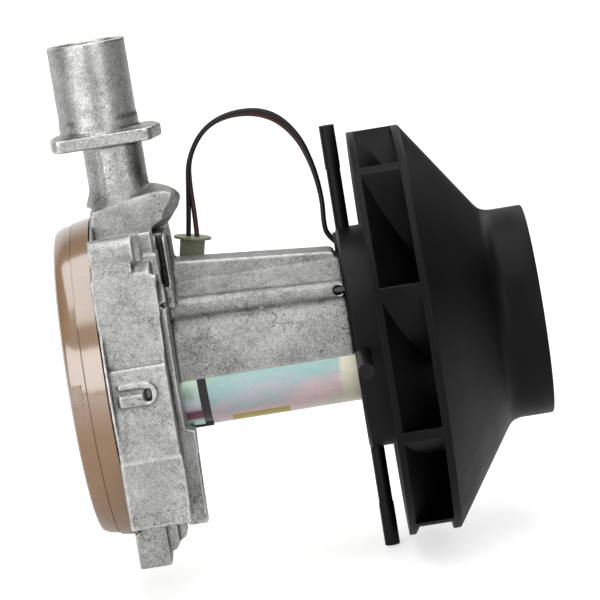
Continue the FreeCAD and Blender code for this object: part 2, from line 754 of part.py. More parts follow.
def motor_stator():
    """Can, bells, bushes, magnets and brush gear of the motor."""
    bush_start = bell_start + 2.0
    inner = can_radius - can_wall
    node(tube("motor_can", can_radius, inner, can_start, can_end))
    node(turned("rear_end_bell", [
        (bell_start, shaft_radius + 0.6), (bell_start, can_radius - 3), (bell_start + 2, can_radius - 0.2),
        (bell_end, can_radius - 0.2), (bell_end, can_radius - 0.2 - bell_wall),
        (bell_start + 4, can_radius - 0.2 - bell_wall), (bell_start + 4, bush_radius + 2),
        (bush_start + bush_length, bush_radius + 2), (bush_start + bush_length, bush_radius),
        (bush_start, bush_radius), (bush_start, shaft_radius + 0.6)]))
    ring = tube("spacer_band", can_radius - ring_inset, inner - ring_lip, bell_end, can_start)
    tab = box("spacer_tab", (saddle_start + seat_gap, -6.5, -(can_radius + 1.8)),
              (saddle_start + 1.3, -0.5, -(can_radius - 1.4)))
    link = box("spacer_link", (saddle_start + 1.0, -3.5, -(can_radius + 0.3)),
               (can_start - 0.2, -0.5, -(can_radius - 1.4)))
    clear = cylinder("spacer_tab_clear", can_radius - 0.15, 40, (bell_end - 40, 0, 0))
    node(fuse("spacer_ring", ring, cut("spacer_tab_trimmed", fuse("spacer_tab_link", tab, link), clear)))
    node(tube("rear_bush", bush_radius, shaft_radius + running_gap, bush_start, bush_start + bush_length))
    node(turned("front_end_cap", [
        (can_end, shaft_radius + 0.6), (can_end, can_radius), (can_end + 1.2, can_radius),
        (cap_end, can_radius - 2.4), (cap_end, bush_radius + 2.4), (cap_end + 3.4, bush_radius + 2.0),
        (cap_end + 3.4, bush_radius), (cap_end - 2.6, bush_radius), (cap_end - 2.6, shaft_radius + 0.6)]))
    node(tube("front_bush", bush_radius, shaft_radius + running_gap, cap_end - 2.6,
              cap_end - 2.6 + bush_length))
    magnet_ring = tube("magnet_ring", inner - 0.05, core_radius + air_gap, core_start - 2, core_end + 2)
    gap_half = size(4.5)
    gap = box("magnet_gap", (core_start - 4, -30, -gap_half), (core_end + 4, 30, gap_half))
    node(cut("magnets", magnet_ring, gap))
    rods = []
    for number, side in enumerate((1, -1), 1):
        rods.append(cylinder(f"tie_rod_{number}", tie_rod_radius, can_end - bell_start - 4,
                             (bell_start + 4, (inner - tie_rod_inset) * side, 0)))
    node(fuse("motor_tie_rods", *rods))
    plate_bore = commutator_radius + 1.0
    plate_disc = tube("brush_plate_disc", inner - 0.1, plate_bore, brush_plate_start,
                      brush_plate_start + brush_plate_thickness)
    rod_holes = [cylinder(f"plate_rod_hole_{number}", tie_rod_radius + 0.1, 8,
                          (brush_plate_start - 3, (inner - tie_rod_inset) * side, 0))
                 for number, side in enumerate((1, -1), 1)]
    node(cut("brush_plate", plate_disc, *rod_holes))
    for name, side in (("top", 1), ("bottom", -1)):
        brush_set(name, side)


def brush_set(name, side):
    """One brush with its brass guide and spring, above or below the commutator."""
    low = commutator_radius + running_gap
    brush = doc.addObject("Part::Box", f"brush_{name}")
    bind(brush, "Length", brush_length)
    bind(brush, "Width", brush_width)
    bind(brush, "Height", brush_height)
    brush_z = low if side > 0 else -(low + brush_height)
    move_to(brush, (brush_center - brush_length / 2, -(brush_width / 2), brush_z))
    node(brush)
    clear = size(0.15)
    guide_low = low + 1.2
    guide_high = low + brush_height + spring_length + 0.2
    start = brush_center - brush_length / 2 - clear
    end = brush_center + brush_length / 2 + clear
    across = brush_width / 2 + clear
    levels = (guide_low, guide_high) if side > 0 else (-guide_high, -guide_low)
    inner_levels = (guide_low - 1, guide_high - 0.2) if side > 0 else (-guide_high + 0.2, -guide_low + 1)
    outside = box(f"guide_outside_{name}", (start - guide_wall, -across - guide_wall, levels[0]),
                  (brush_plate_start, across + guide_wall, levels[1]))
    hollow = box(f"guide_hollow_{name}", (start, -across, inner_levels[0]), (end, across, inner_levels[1]))
    node(cut(f"brush_guide_{name}", outside, hollow))
    spring_start = low + brush_height if side > 0 else -(low + brush_height + spring_length)
    wire = cylinder(f"spring_outside_{name}", brush_width / 2 - 0.1, spring_length,
                    (brush_center, 0, spring_start), "Z")
    hole = cylinder(f"spring_hollow_{name}", brush_width / 2 - 0.7, spring_length + 2,
                    (brush_center, 0, spring_start - 1), "Z")
    node(cut(f"brush_spring_{name}", wire, hole))


def motor_rotor():
    """Shaft, wound armature and commutator."""
    node(cylinder("motor_shaft", shaft_radius, shaft_end - shaft_start, (shaft_start, 0, 0)))
    core = doc.addObject("PartDesign::Body", "armature_core")
    half_slot = size(1.5)
    disc = outline(core, "core_profile", "XZ_Plane", [
        (core_start, shaft_radius), (core_start, core_radius), (core_end, core_radius),
        (core_end, shaft_radius)])
    turn = core.newObject("PartDesign::Revolution", "core_turn")
    turn.Profile = disc
    turn.ReferenceAxis = (disc, ["H_Axis"])
    turn.Angle = 360
    slot_sketch = outline(core, "core_slot", "YZ_Plane", [
        (-half_slot, core_radius - 7), (half_slot, core_radius - 7), (half_slot, core_radius + 1),
        (-half_slot, core_radius + 1)], core_start - 1)
    slot = core.newObject("PartDesign::Pocket", "core_slot_cut")
    slot.Profile = slot_sketch
    bind(slot, "Length", core_length + 2)
    slot.Reversed = True
    patterned(core, size(8))
    node(core)
    ends = []
    for number, start in enumerate((core_start - winding_overhang, core_end), 1):
        ends.append(tube(f"winding_end_{number}", core_radius - 1.4, shaft_radius + 2.2, start,
                         start + winding_overhang))
    bar = padded("winding_bar", "YZ_Plane", [
        (-half_slot + 0.1, core_radius - 6.8), (half_slot - 0.1, core_radius - 6.8),
        (half_slot - 0.1, core_radius - 1.6), (-half_slot + 0.1, core_radius - 1.6)],
        core_length + 2, core_start - 1)
    patterned(bar, size(8))
    node(fuse("armature_windings", *ends, bar))
    node(tube("commutator", commutator_radius, shaft_radius, commutator_start,
              commutator_start + commutator_length))


def channel_rotor():
    """Side channel wheel: a disc with a ring of vane pockets that faces the casting."""
    wheel = doc.addObject("PartDesign::Body", "channel_rotor")
    web = wheel_thickness * 0.35
    ring_root = channel_radius - channel_groove - 1
    disc = outline(wheel, "wheel_profile", "XZ_Plane", [
        (wheel_start, shaft_radius), (wheel_start, 8), (wheel_start + web, 9.5),
        (wheel_start + web, ring_root - 2), (wheel_start, ring_root), (wheel_start, wheel_radius),
        (wheel_end, wheel_radius), (wheel_end, ring_root), (wheel_end - web, ring_root - 2),
        (wheel_end - web, 9.5), (wheel_end, 8), (wheel_end, shaft_radius)])
    turn = wheel.newObject("PartDesign::Revolution", "wheel_turn")
    turn.Profile = disc
    turn.ReferenceAxis = (disc, ["H_Axis"])
    turn.Angle = 360
    inner = channel_radius - channel_groove + 0.5
    outer = wheel_radius - 1.2
    share = size(math.pi * 0.68)
    pocket_sketch = outline(wheel, "vane_pocket", "YZ_Plane", [
        (-(inner * share / vane_count), inner), (inner * share / vane_count, inner),
        (outer * share / vane_count, outer), (-(outer * share / vane_count), outer)], wheel_end - vane_depth)
    pocket = wheel.newObject("PartDesign::Pocket", "vane_pocket_cut")
    pocket.Profile = pocket_sketch
    bind(pocket, "Length", vane_depth + 1)
    pocket.Reversed = True
    patterned(wheel, vane_count)
    node(wheel)
    node(tube("rotor_clip", shaft_radius + 3, shaft_radius, wheel_start - clip_thickness, wheel_start))


def hub_face(radius):
    """The place of the hub cone's air side at a radius."""
    return rim_end + (fan_radius - radius) * tangent(hub_slope)


def shroud_face(radius):
    """The place of the shroud's air side at a radius."""
    return shroud_start + (fan_radius - radius) * tangent(fan_slope)


def fan_wheel():
    """Mixed flow wheel: a hub cone with a sleeve on the shaft and backward curved blades."""
    cone_wall = fan_plate * 1.22
    nose_face = nose_end - nose_wall
    hub = turned("fan_hub", [
        (fan_start, fan_radius), (rim_end, fan_radius), (hub_face(hub_nose), hub_nose),
        (nose_end, hub_radius + 3), (nose_end, shaft_radius), (cap_end + 5, shaft_radius),
        (cap_end + 5, hub_radius - 1.5), (nose_face - 6, hub_radius), (nose_face, hub_radius + 1.5),
        (hub_face(hub_nose) - cone_wall, hub_nose), (fan_start, fan_radius - 0.6)])
    air = turned("blade_space", [
        (hub_face(fan_radius) - 0.8, fan_radius), (shroud_face(fan_radius), fan_radius),
        (shroud_face(blade_inner), blade_inner), (hub_face(blade_inner) - 0.8, blade_inner)])
    blades = []
    for number in range(int(blade_count.value)):
        blades.append(blade(number + 1, blade_phase.value + 360 / blade_count.value * number))
    trimmed = common("trimmed_blades", fuse("blade_rings", *blades), air)
    return fuse("fan_wheel", hub, trimmed)


def blade(number, angle):
    """One blade: half of an upright ring whose middle line runs from the rim to the inner radius."""
    tip = Vector(0, 0, fan_radius.value)
    root = Rotation(AXIS_X, blade_wrap.value).multVec(Vector(0, 0, blade_inner.value))
    chord = root - tip
    middle = (tip + root) * 0.5
    inward = Vector(0, -chord.z, chord.y).normalize()
    if inward.dot(middle) > 0:
        inward = -inward
    depth = math.sqrt(blade_curve.value ** 2 - (chord.Length / 2) ** 2)
    center = middle + inward * depth
    facing = math.degrees(math.atan2(-center.y, center.z))
    start = rim_end.value - 3
    length = (eye_start - rim_end + 3).value
    turn = Rotation(AXIS_X, angle)
    halves = []
    for part, offset in (("outside", 0.5), ("inside", -0.5)):
        ring = doc.addObject("Part::Cylinder", f"blade_{number}_{part}")
        bind(ring, "Radius", blade_curve + blade_wall * offset)
        bind(ring, "Height", size(length))
        ring.Angle = 180
        lean = turn * Rotation(AXIS_X, facing + 180) * Rotation(AXIS_Y, 90)
        place = turn.multVec(Vector(start, center.y, center.z))
        ring.Placement = FreeCAD.Placement(place, lean)
        halves.append(ring)
    return cut(f"blade_{number}", *halves)


def fan_shroud():
    """Cone of the fan in front of the blades, which ends in the inlet collar."""
    inner = eye_radius - shroud_wall
    return turned("fan_shroud", [
        (shroud_start, fan_radius), (shroud_end - 0.5, fan_radius), (shroud_end, fan_radius - 0.5),
        (eye_start - 1.8, eye_radius + 2.4), (eye_start + 0.4, eye_radius + 0.5),
        (eye_start + 2.6, eye_radius), (eye_end - 0.4, eye_radius), (eye_end, eye_radius - 0.4),
        (eye_end, inner), (shroud_face(inner), inner)])


def tilted(item, low):
    """Leans a primitive, whose low corner or foot is given from the plug's top, over with the plug."""
    lean = Rotation(AXIS_Y, plug_tilt.value)
    pivot = Vector(plug_center.value, plug_back.value, plug_top.value)
    foot = Vector(*[size(part).value for part in low])
    item.Placement = FreeCAD.Placement(pivot + lean.multVec(foot), lean)
    return item


def tilted_box(name, low, high):
    item = doc.addObject("Part::Box", name)
    for target, start, end in zip(("Length", "Width", "Height"), low, high):
        bind(item, target, size(end) - size(start))
    return tilted(item, low)


def connector():
    """Nylon plug housing with a round lip that hangs behind the ridge, with its two contacts."""
    half = plug_width / 2
    deep = plug_depth / 2
    body = tilted_box("plug_body", (-half, -deep, -plug_length), (half, deep, -plug_lip / 2))
    lip = doc.addObject("Part::Cylinder", "plug_flange")
    bind(lip, "Radius", plug_lip_radius)
    bind(lip, "Height", plug_lip)
    tilted(lip, (0, 0, -plug_lip))
    slots = []
    pins = []
    for number, shift in enumerate((-0.5, 0.5), 1):
        across = lead_gap * shift
        slots.append(tilted_box(f"plug_slot_{number}", (across - 1.1, -1.1, -plug_length - 1),
                                (across + 1.1, 1.1, -3.0)))
        pins.append(tilted_box(f"contact_{number}", (across - 1.0, -1.0, -plug_length + 0.6),
                               (across + 1.0, 1.0, -3.0)))
    node(cut("connector_housing", fuse("plug_solid", body, lip), *slots))
    node(fuse("connector_contacts", *pins))


def lead_route(shift):
    """Corners of a lead from the plug over the arch into the grommet.

    The red lead lies behind the black one and dips inside it over the arch.
    """
    lean = Rotation(AXIS_Y, plug_tilt.value)
    top = Vector(plug_center.value, plug_back.value, plug_top.value)
    aside = Vector(0, lead_spread.value * shift, 0)
    middle = Vector(53, 13.2, 52)
    points = [top + lean.multVec(Vector(lead_gap.value * shift, 0, 0)),
              Vector(31.9 + 2.0 * shift, plug_back.value, 46.0),
              Vector(32.5 + 0.6 * shift, 15.6, 54.5) + aside]
    for corner, dip in ((Vector(34.4, 15.0, 64.0), 0.0), (Vector(40.6, 14.3, 72.6), 0.0),
                        (Vector(50.6, 13.6, 76.9), 0.8), (Vector(61.4, 13.0, 74.6), 1.7),
                        (Vector(68.4, 12.6, 66.6), 1.0), (Vector(71.9, 12.2, 55.6), 0.3),
                        (Vector(73.6, 11.9, 44.6), 0.0), (Vector(73.4, 11.7, 37.4), 0.0),
                        (Vector(74.2, 11.6, 32.8), 0.0)):
        inward = (middle - corner).normalize() * dip * (shift + 0.5)
        points.append(corner + inward + aside)
    points.append(Vector((bracket_end + 0.6).value, grommet_back.value, grommet_height.value) + aside)
    return points


def lead(name, shift):
    """A lead as a round tube along straight runs that tangent arcs join."""
    points = lead_route(shift)
    edges = []
    start = points[0]
    radii = []
    for before, corner, after in zip(points, points[1:], points[2:]):
        into = (corner - before).normalize()
        out = (after - corner).normalize()
        run = min((corner - before).Length, (after - corner).Length)
        half_turn = into.getAngle(out) / 2
        radius = 0.45 * run / math.tan(half_turn)
        radii.append(round(radius, 1))
        reach = 0.45 * run
        first = corner - into * reach
        last = corner + out * reach
        toward = (out - into).normalize()
        middle = corner + toward * (radius / math.cos(half_turn) - radius)
        edges.append(Part.LineSegment(start, first).toShape())
        edges.append(Part.Arc(first, middle, last).toShape())
        start = last
    edges.append(Part.LineSegment(start, points[-1]).toShape())
    path = Part.Wire(edges)
    section = Part.Wire(Part.makeCircle(lead_radius.value, points[0], points[1] - points[0]))
    item = doc.addObject("Part::Feature", name)
    item.Shape = path.makePipeShell([section], True, False)
    item.Placement = FreeCAD.Placement()
    length = path.Length
    wanted = math.pi * lead_radius.value ** 2 * length
    print(name, "length", round(length, 1), "arc radii", radii, "volume ratio",
          round(item.Shape.Volume / wanted, 4))
    return item


def grommet():
    """Rubber grommet where the leads pass through the holder."""
    flange = cylinder("grommet_flange", grommet_radius + 0.9, 1.0,
                      (bracket_end - 1.0, grommet_back, grommet_height))
    sleeve = cylinder("grommet_sleeve", grommet_radius, holder_thickness + 1.0,
                      (bracket_end - 0.5, grommet_back, grommet_height))
    return fuse("lead_grommet", flange, sleeve)


def check(item):
    if "Invalid" in item.State or "Error" in item.State:
        raise RuntimeError(f"{item.Label} failed: {item.State}")


node(blower_casting())
node(channel_cover())
node(channel_seal())
node(motor_bracket())
node(bracket_screws())
node(motor_holder())
node(holder_screws())
motor_stator()
connector()
node(lead("lead_black", -0.5))
node(lead("lead_red", 0.5))
node(grommet())
motor_rotor()
channel_rotor()
node(fan_wheel())
node(fan_shroud())
node(tube("fan_clip", shaft_radius + fan_clip_rim, shaft_radius, fan_clip_start, fan_clip_start + 1.2))
doc.recompute()

for item in doc.Objects:
    check(item)
os.makedirs("parts", exist_ok=True)
for item in nodes:
    shape = item.Shape
    if shape.isNull() or not shape.isValid():
        raise RuntimeError(f"{item.Label} has no valid shape")
    shape.exportStep(f"parts/{item.Label}.step")
    print(item.Label, len(shape.Solids), "solids", round(shape.Volume, 1), "mm3")
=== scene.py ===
import json
import math

import bmesh
import bpy
import numpy as np
from mathutils import Matrix, Vector


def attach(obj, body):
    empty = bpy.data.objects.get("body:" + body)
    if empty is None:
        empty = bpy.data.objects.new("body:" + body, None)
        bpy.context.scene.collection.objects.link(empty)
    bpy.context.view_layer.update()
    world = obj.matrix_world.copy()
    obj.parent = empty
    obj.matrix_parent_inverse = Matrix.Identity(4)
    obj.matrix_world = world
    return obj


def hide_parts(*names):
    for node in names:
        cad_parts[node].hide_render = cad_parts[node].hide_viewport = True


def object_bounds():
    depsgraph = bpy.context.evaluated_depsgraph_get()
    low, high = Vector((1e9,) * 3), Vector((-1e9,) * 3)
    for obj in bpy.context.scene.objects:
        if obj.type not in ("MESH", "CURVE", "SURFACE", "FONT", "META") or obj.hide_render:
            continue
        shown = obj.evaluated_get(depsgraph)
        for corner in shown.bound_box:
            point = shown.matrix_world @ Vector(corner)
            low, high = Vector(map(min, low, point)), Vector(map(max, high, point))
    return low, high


# DC blower fan of a heater, in metres, with its shape tables in millimetres. X runs along the motor
# axis towards the fan inlet, Z along the hose spigot and Y away from the front.

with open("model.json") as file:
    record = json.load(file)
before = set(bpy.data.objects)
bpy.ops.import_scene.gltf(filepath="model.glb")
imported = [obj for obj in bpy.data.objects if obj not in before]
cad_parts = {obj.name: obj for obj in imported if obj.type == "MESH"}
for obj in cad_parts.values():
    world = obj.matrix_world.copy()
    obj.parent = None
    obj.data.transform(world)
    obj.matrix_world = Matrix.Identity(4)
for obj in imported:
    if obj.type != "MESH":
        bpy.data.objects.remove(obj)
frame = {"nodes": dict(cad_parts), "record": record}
cad_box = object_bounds()

MM = 0.001


class Wiring:
    """Adds nodes to one shader tree and joins them with short calls."""

    def __init__(self, tree):
        self.tree = tree

    def feed(self, socket, value):
        if isinstance(value, bpy.types.NodeSocket):
            self.tree.links.new(value, socket)
        else:
            socket.default_value = value

    def add(self, kind, values=None, **settings):
        node = self.tree.nodes.new("ShaderNode" + kind)
        for name, value in settings.items():
            setattr(node, name, value)
        for socket, value in (values or {}).items():
            self.feed(node.inputs[socket], value)
        return node

    def maths(self, operation, first, second=0.0, clamp=False):
        node = self.add("Math", {0: first, 1: second}, operation=operation, use_clamp=clamp)
        return node.outputs[0]

    def span(self, value, low, high, start=0.0, end=1.0):
        """Carries a value from one range into another, held at both ends."""
        node = self.add("MapRange", {0: value, 1: low, 2: high, 3: start, 4: end})
        return node.outputs[0]

    def place(self):
        return self.add("TexCoord").outputs["Object"]

    def noise(self, scale, detail=3.0, rough=0.55, vector=None):
        values = {"Vector": vector or self.place(), "Scale": scale, "Detail": detail, "Roughness": rough}
        return self.add("TexNoise", values).outputs[0]

    def blend(self, factor, first, second):
        node = self.add("Mix", {0: factor, 6: first, 7: second}, data_type="RGBA")
        return node.outputs[2]

    def ramp(self, factor, stops):
        node = self.add("ValToRGB", {0: factor})
        ladder = node.color_ramp.elements
        while len(ladder) < len(stops):
            ladder.new(0.5)
        for rung, (position, colour) in zip(ladder, stops):
            rung.position = position
            rung.color = (*colour, 1.0)
        return node.outputs[0]

    def use(self, tree, **values):
        """Places a shader group, its inputs given by their names with underscores for spaces."""
        node = self.tree.nodes.new("ShaderNodeGroup")
        node.node_tree = tree
        for name, value in values.items():
            self.feed(node.inputs[name.replace("_", " ").capitalize()], value)
        return node.outputs


def effect(name, inputs, outputs):
    """An empty shader group with its wiring, its inner inputs and its inner outputs."""
    tree = bpy.data.node_groups.new(name, "ShaderNodeTree")
    for label, kind, value in inputs:
        socket = tree.interface.new_socket(label, in_out="INPUT", socket_type="NodeSocket" + kind)
        socket.default_value = value
    for label, kind in outputs:
        tree.interface.new_socket(label, in_out="OUTPUT", socket_type="NodeSocket" + kind)
    inner = tree.nodes.new("NodeGroupInput").outputs
    outer = tree.nodes.new("NodeGroupOutput").inputs
    return tree, Wiring(tree), inner, outer


def edge_wear_and_highlight():
    """Edges found by how far a rounded normal turns from the plain one, broken up by noise; the materials
    pale them, partly as rubbed edges and partly as a painted highlight.
    """
    tree, wire, given, out = effect(
        "edge wear",
        [("Radius", "Float", 0.0005), ("Breakup", "Float", 500.0)],
        [("Edge", "Float"), ("Normal", "Vector")])
    rounded = wire.add("Bevel", {"Radius": given["Radius"]}, samples=6).outputs[0]
    plain = wire.add("NewGeometry").outputs["Normal"]
    turn = wire.add("VectorMath", {0: rounded, 1: plain}, operation="DOT_PRODUCT").outputs["Value"]
    edge = wire.span(wire.maths("SUBTRACT", 1.0, turn), 0.01, 0.16)
    patches = wire.span(wire.noise(given["Breakup"], 4.0), 0.35, 0.6)
    wire.feed(out["Edge"], wire.maths("MULTIPLY", edge, patches, True))
    wire.feed(out["Normal"], rounded)
    return tree


def cast_wear_highlight_and_shade():
    """Where a finely meshed casting is lighter on its edges, partly rubbed and partly a painted highlight,
    and darker in its corners and gaps, a painted shade.
    """
    tree, wire, given, out = effect(
        "cast wear", [("Reach", "Float", 0.002)], [("Edge", "Float"), ("Open", "Float")])
    # Convex edges, broken up by noise: paled later, partly rubbed and partly a painted highlight.
    bend = wire.add("NewGeometry").outputs["Pointiness"]
    broken = wire.span(wire.noise(450.0, 4.0, 0.6), 0.32, 0.55, 0.35, 1.0)
    wire.feed(out["Edge"], wire.maths("MULTIPLY", wire.span(bend, 0.512, 0.555), broken, True))
    # Painted shade: open is low in concave corners and where ambient occlusion finds other surfaces near.
    corner = wire.span(bend, 0.445, 0.490)
    nearby = wire.add("AmbientOcclusion", {"Distance": given["Reach"]}, samples=6)
    free = wire.span(nearby.outputs["AO"], 0.30, 0.85)
    wire.feed(out["Open"], wire.maths("MULTIPLY", corner, free))
    return tree


def cast_skin():
    """Die cast skin: fine bright and dark grain, winding flow marks and slow cloudy patches."""
    tree, wire, given, out = effect(
        "cast skin",
        [("Light", "Color", (1, 1, 1, 1)), ("Dark", "Color", (0, 0, 0, 1)), ("Grain", "Float", 1900.0),
         ("Cloud", "Float", 110.0), ("Calm", "Float", 0.0), ("Marks", "Float", 0.5)],
        [("Color", "Color"), ("Roughness", "Float"), ("Height", "Float")])
    grain = wire.noise(given["Grain"], 4.0, 0.8)
    fine = wire.span(grain, 0.40, 0.60)
    medium = wire.noise(wire.maths("MULTIPLY", given["Grain"], 0.33), 3.0, 0.6)
    cloud = wire.noise(given["Cloud"], 4.0, 0.6)
    bend = wire.noise(300.0, 3.0, 0.6)
    bend = wire.maths("ABSOLUTE", wire.maths("SUBTRACT", bend, 0.5))
    line = wire.span(bend, 0.004, 0.020, 1.0, 0.0)
    where = wire.span(wire.noise(85.0, 3.0), 0.50, 0.60)
    marks = wire.maths("MULTIPLY", wire.maths("MULTIPLY", line, where), given["Marks"])
    tone = wire.maths("ADD", wire.maths("MULTIPLY", fine, 0.46), wire.span(medium, 0.3, 0.7, 0.0, 0.26))
    tone = wire.maths("ADD", tone, wire.span(cloud, 0.3, 0.7, 0.0, 0.32))
    tone = wire.maths("SUBTRACT", tone, marks, True)
    wire.feed(out["Color"], wire.blend(tone, given["Dark"], given["Light"]))
    rough = wire.maths("SUBTRACT", 1.0, given["Calm"])
    spread = wire.maths("MULTIPLY", wire.span(grain, 0.3, 0.7, -0.08, 0.12), rough)
    level = wire.maths("ADD", wire.maths("MULTIPLY", rough, 0.12), 0.30)
    wire.feed(out["Roughness"], wire.maths("ADD", level, spread))
    height = wire.maths("ADD", wire.maths("MULTIPLY", grain, 0.7), wire.maths("MULTIPLY", medium, 0.8))
    height = wire.maths("SUBTRACT", height, wire.maths("MULTIPLY", marks, 0.5))
    wire.feed(out["Height"], wire.maths("MULTIPLY", height, wire.maths("ADD", 0.25, rough)))
    return tree


def moulded_skin():
    """Moulded plastic or rubber: faint mottling, a fine eroded texture and thin rubbed lines."""
    tree, wire, given, out = effect(
        "moulded skin",
        [("Light", "Color", (1, 1, 1, 1)), ("Dark", "Color", (0, 0, 0, 1)), ("Grain", "Float", 2600.0),
         ("Gloss", "Float", 0.4), ("Rub", "Float", 0.3)],
        [("Color", "Color"), ("Roughness", "Float"), ("Height", "Float")])
    grain = wire.noise(given["Grain"], 3.0, 0.6)
    cloud = wire.noise(60.0, 4.0, 0.6)
    place = wire.place()
    squeezed = wire.add("Mapping", {"Vector": place, "Scale": (0.12, 1.0, 1.0)}).outputs[0]
    rubbed = wire.span(wire.noise(900.0, 5.0, 0.75, squeezed), 0.60, 0.70)
    patches = wire.span(wire.noise(45.0, 3.0), 0.45, 0.65)
    rubbed = wire.maths("MULTIPLY", wire.maths("MULTIPLY", rubbed, patches), given["Rub"])
    tone = wire.maths("ADD", wire.span(cloud, 0.3, 0.7, 0.0, 0.7), rubbed, True)
    wire.feed(out["Color"], wire.blend(tone, given["Dark"], given["Light"]))
    slow = wire.span(cloud, 0.3, 0.7, -0.05, 0.06)
    quick = wire.span(grain, 0.3, 0.7, -0.04, 0.04)
    change = wire.maths("ADD", wire.maths("ADD", slow, quick), rubbed)
    wire.feed(out["Roughness"], wire.maths("ADD", given["Gloss"], change))
    wire.feed(out["Height"], wire.maths("ADD", grain, wire.maths("MULTIPLY", rubbed, -0.4)))
    return tree


def zinc_film():
    """Thin passivation film on zinc: pastel colours drift along the can and round it."""
    tree, wire, given, out = effect(
        "zinc film",
        [("Bell end", "Float", 0.0263), ("Bare start", "Float", 0.0713)],
        [("Color", "Color"), ("Roughness", "Float"), ("Height", "Float")])
    apart = wire.add("SeparateXYZ", {0: wire.place()}).outputs
    streaks = wire.add("Mapping", {"Vector": wire.place(), "Rotation": (0.0, -0.6, 0.0),
                                   "Scale": (0.45, 1.0, 1.3)}).outputs[0]
    wander = wire.maths("SUBTRACT", wire.noise(75.0, 6.0, 0.62, streaks), 0.5)
    round_it = wire.maths("MULTIPLY", wire.maths("ADD", apart[2], 0.004), -31.0)
    along = wire.maths("MULTIPLY", wire.maths("SUBTRACT", apart[0], 0.03), 4.5)
    phase = wire.maths("ADD", wire.maths("ADD", round_it, along), wire.maths("MULTIPLY", wander, 1.1))
    phase = wire.maths("FRACT", wire.maths("ADD", phase, 0.20))
    film = wire.ramp(phase, [
        (0.0, (0.68, 0.70, 0.56)), (0.14, (0.50, 0.70, 0.50)), (0.26, (0.43, 0.65, 0.61)),
        (0.42, (0.50, 0.65, 0.66)), (0.54, (0.66, 0.62, 0.66)), (0.72, (0.86, 0.66, 0.68)),
        (0.88, (0.86, 0.78, 0.69)), (1.0, (0.68, 0.70, 0.56))])
    specks = wire.maths("MULTIPLY", wire.span(wire.noise(1300.0, 4.0, 0.7), 0.60, 0.68),
                        wire.span(wire.noise(130.0, 4.0), 0.46, 0.62))
    film = wire.blend(wire.maths("MULTIPLY", specks, 0.6), film, (0.26, 0.20, 0.17, 1.0))
    jitter = wire.maths("MULTIPLY", wander, 0.006)
    bare = wire.span(wire.maths("ADD", apart[0], jitter), given["Bare start"],
                     wire.maths("ADD", given["Bare start"], 0.0012))
    film = wire.blend(bare, film, (0.86, 0.83, 0.67, 1.0))
    depth = wire.maths("MULTIPLY", wire.maths("ABSOLUTE", apart[2]), 50.0)
    bands = wire.ramp(wire.maths("ADD", depth, wire.maths("MULTIPLY", wander, 0.10)), [
        (0.0, (0.70, 0.88, 0.72)), (0.30, (0.72, 0.96, 0.80)), (0.48, (0.80, 0.92, 0.96)),
        (0.62, (0.66, 0.62, 0.70)), (0.67, (0.24, 0.10, 0.15)), (0.80, (0.30, 0.12, 0.18)),
        (0.84, (0.58, 0.84, 0.76)), (1.0, (0.62, 0.88, 0.76))])
    on_bell = wire.maths("LESS_THAN", apart[0], given["Bell end"])
    wire.feed(out["Color"], wire.blend(on_bell, film, bands))
    wire.feed(out["Roughness"], wire.span(wire.noise(900.0, 4.0), 0.3, 0.7, 0.26, 0.42))
    wire.feed(out["Height"], wire.noise(1500.0, 4.0, 0.6))
    return tree


EDGE = edge_wear_and_highlight()
CAST_WEAR_AND_SHADE = cast_wear_highlight_and_shade()
CAST = cast_skin()
MOULDED = moulded_skin()
FILM = zinc_film()


def finish(name, sockets):
    """A new material with its Principled shader's own sockets set, and its wiring."""
    made = bpy.data.materials.new(name)
    made.use_nodes = True
    shader = made.node_tree.nodes["Principled BSDF"]
    for label, value in sockets.items():
        shader.inputs[label].default_value = value
    return made, Wiring(made.node_tree), shader.inputs


def bumped(wire, into, height, relief, normal=None):
    """Feeds a height pattern of so many metres of relief into the shader's normal."""
    values = {"Height": height, "Strength": 1.0, "Distance": relief}
    if normal is not None:
        values["Normal"] = normal
    wire.feed(into["Normal"], wire.add("Bump", values).outputs[0])


# The casting is smoother and lighter above this height, where the spigot's flange starts.
SMOOTH_ABOVE = 0.0625
SMOOTHING_HALF = 0.001
SMOOTH_CALM = 0.7
# How far the painted crevice shade looks and how dark it leaves the colour.
CREVICE_REACH = 0.0022
CREVICE_LEVEL = 0.38


def cast_metal(name, light, dark, relief):
    """Cast alloy with bright edges, partly rubbed and partly a painted highlight, and painted shade in its
    crevices, smoother and lighter above the flange.
    """
    made, wire, into = finish(name, {"Metallic": 1.0})
    height = wire.add("SeparateXYZ", {0: wire.place()}).outputs[2]
    calm = wire.span(height, SMOOTH_ABOVE - SMOOTHING_HALF, SMOOTH_ABOVE + SMOOTHING_HALF, 0.0, SMOOTH_CALM)
    lighter = tuple(part * 1.12 for part in light)
    darker = tuple(part * 1.2 for part in dark)
    high = wire.blend(calm, (*light, 1.0), (*lighter, 1.0))
    low = wire.blend(calm, (*dark, 1.0), (*darker, 1.0))
    skin = wire.use(CAST, light=high, dark=low, calm=calm)
    wear_and_painted_light = wire.use(CAST_WEAR_AND_SHADE, reach=CREVICE_REACH)
    # Painted highlight and rubbing: edges are paled towards near white.
    rubbed = wire.maths("MULTIPLY", wear_and_painted_light["Edge"], 0.85)
    base = wire.blend(rubbed, skin["Color"], (0.92, 0.92, 0.90, 1.0))
    # Painted shade: corners and gaps are darkened towards near black.
    shade = wire.span(wear_and_painted_light["Open"], 0.0, 1.0, CREVICE_LEVEL, 1.0)
    wire.feed(into["Base Color"], wire.blend(shade, (0.02, 0.02, 0.02, 1.0), base))
    wire.feed(into["Roughness"], skin["Roughness"])
    bumped(wire, into, skin["Height"], relief)
    return made


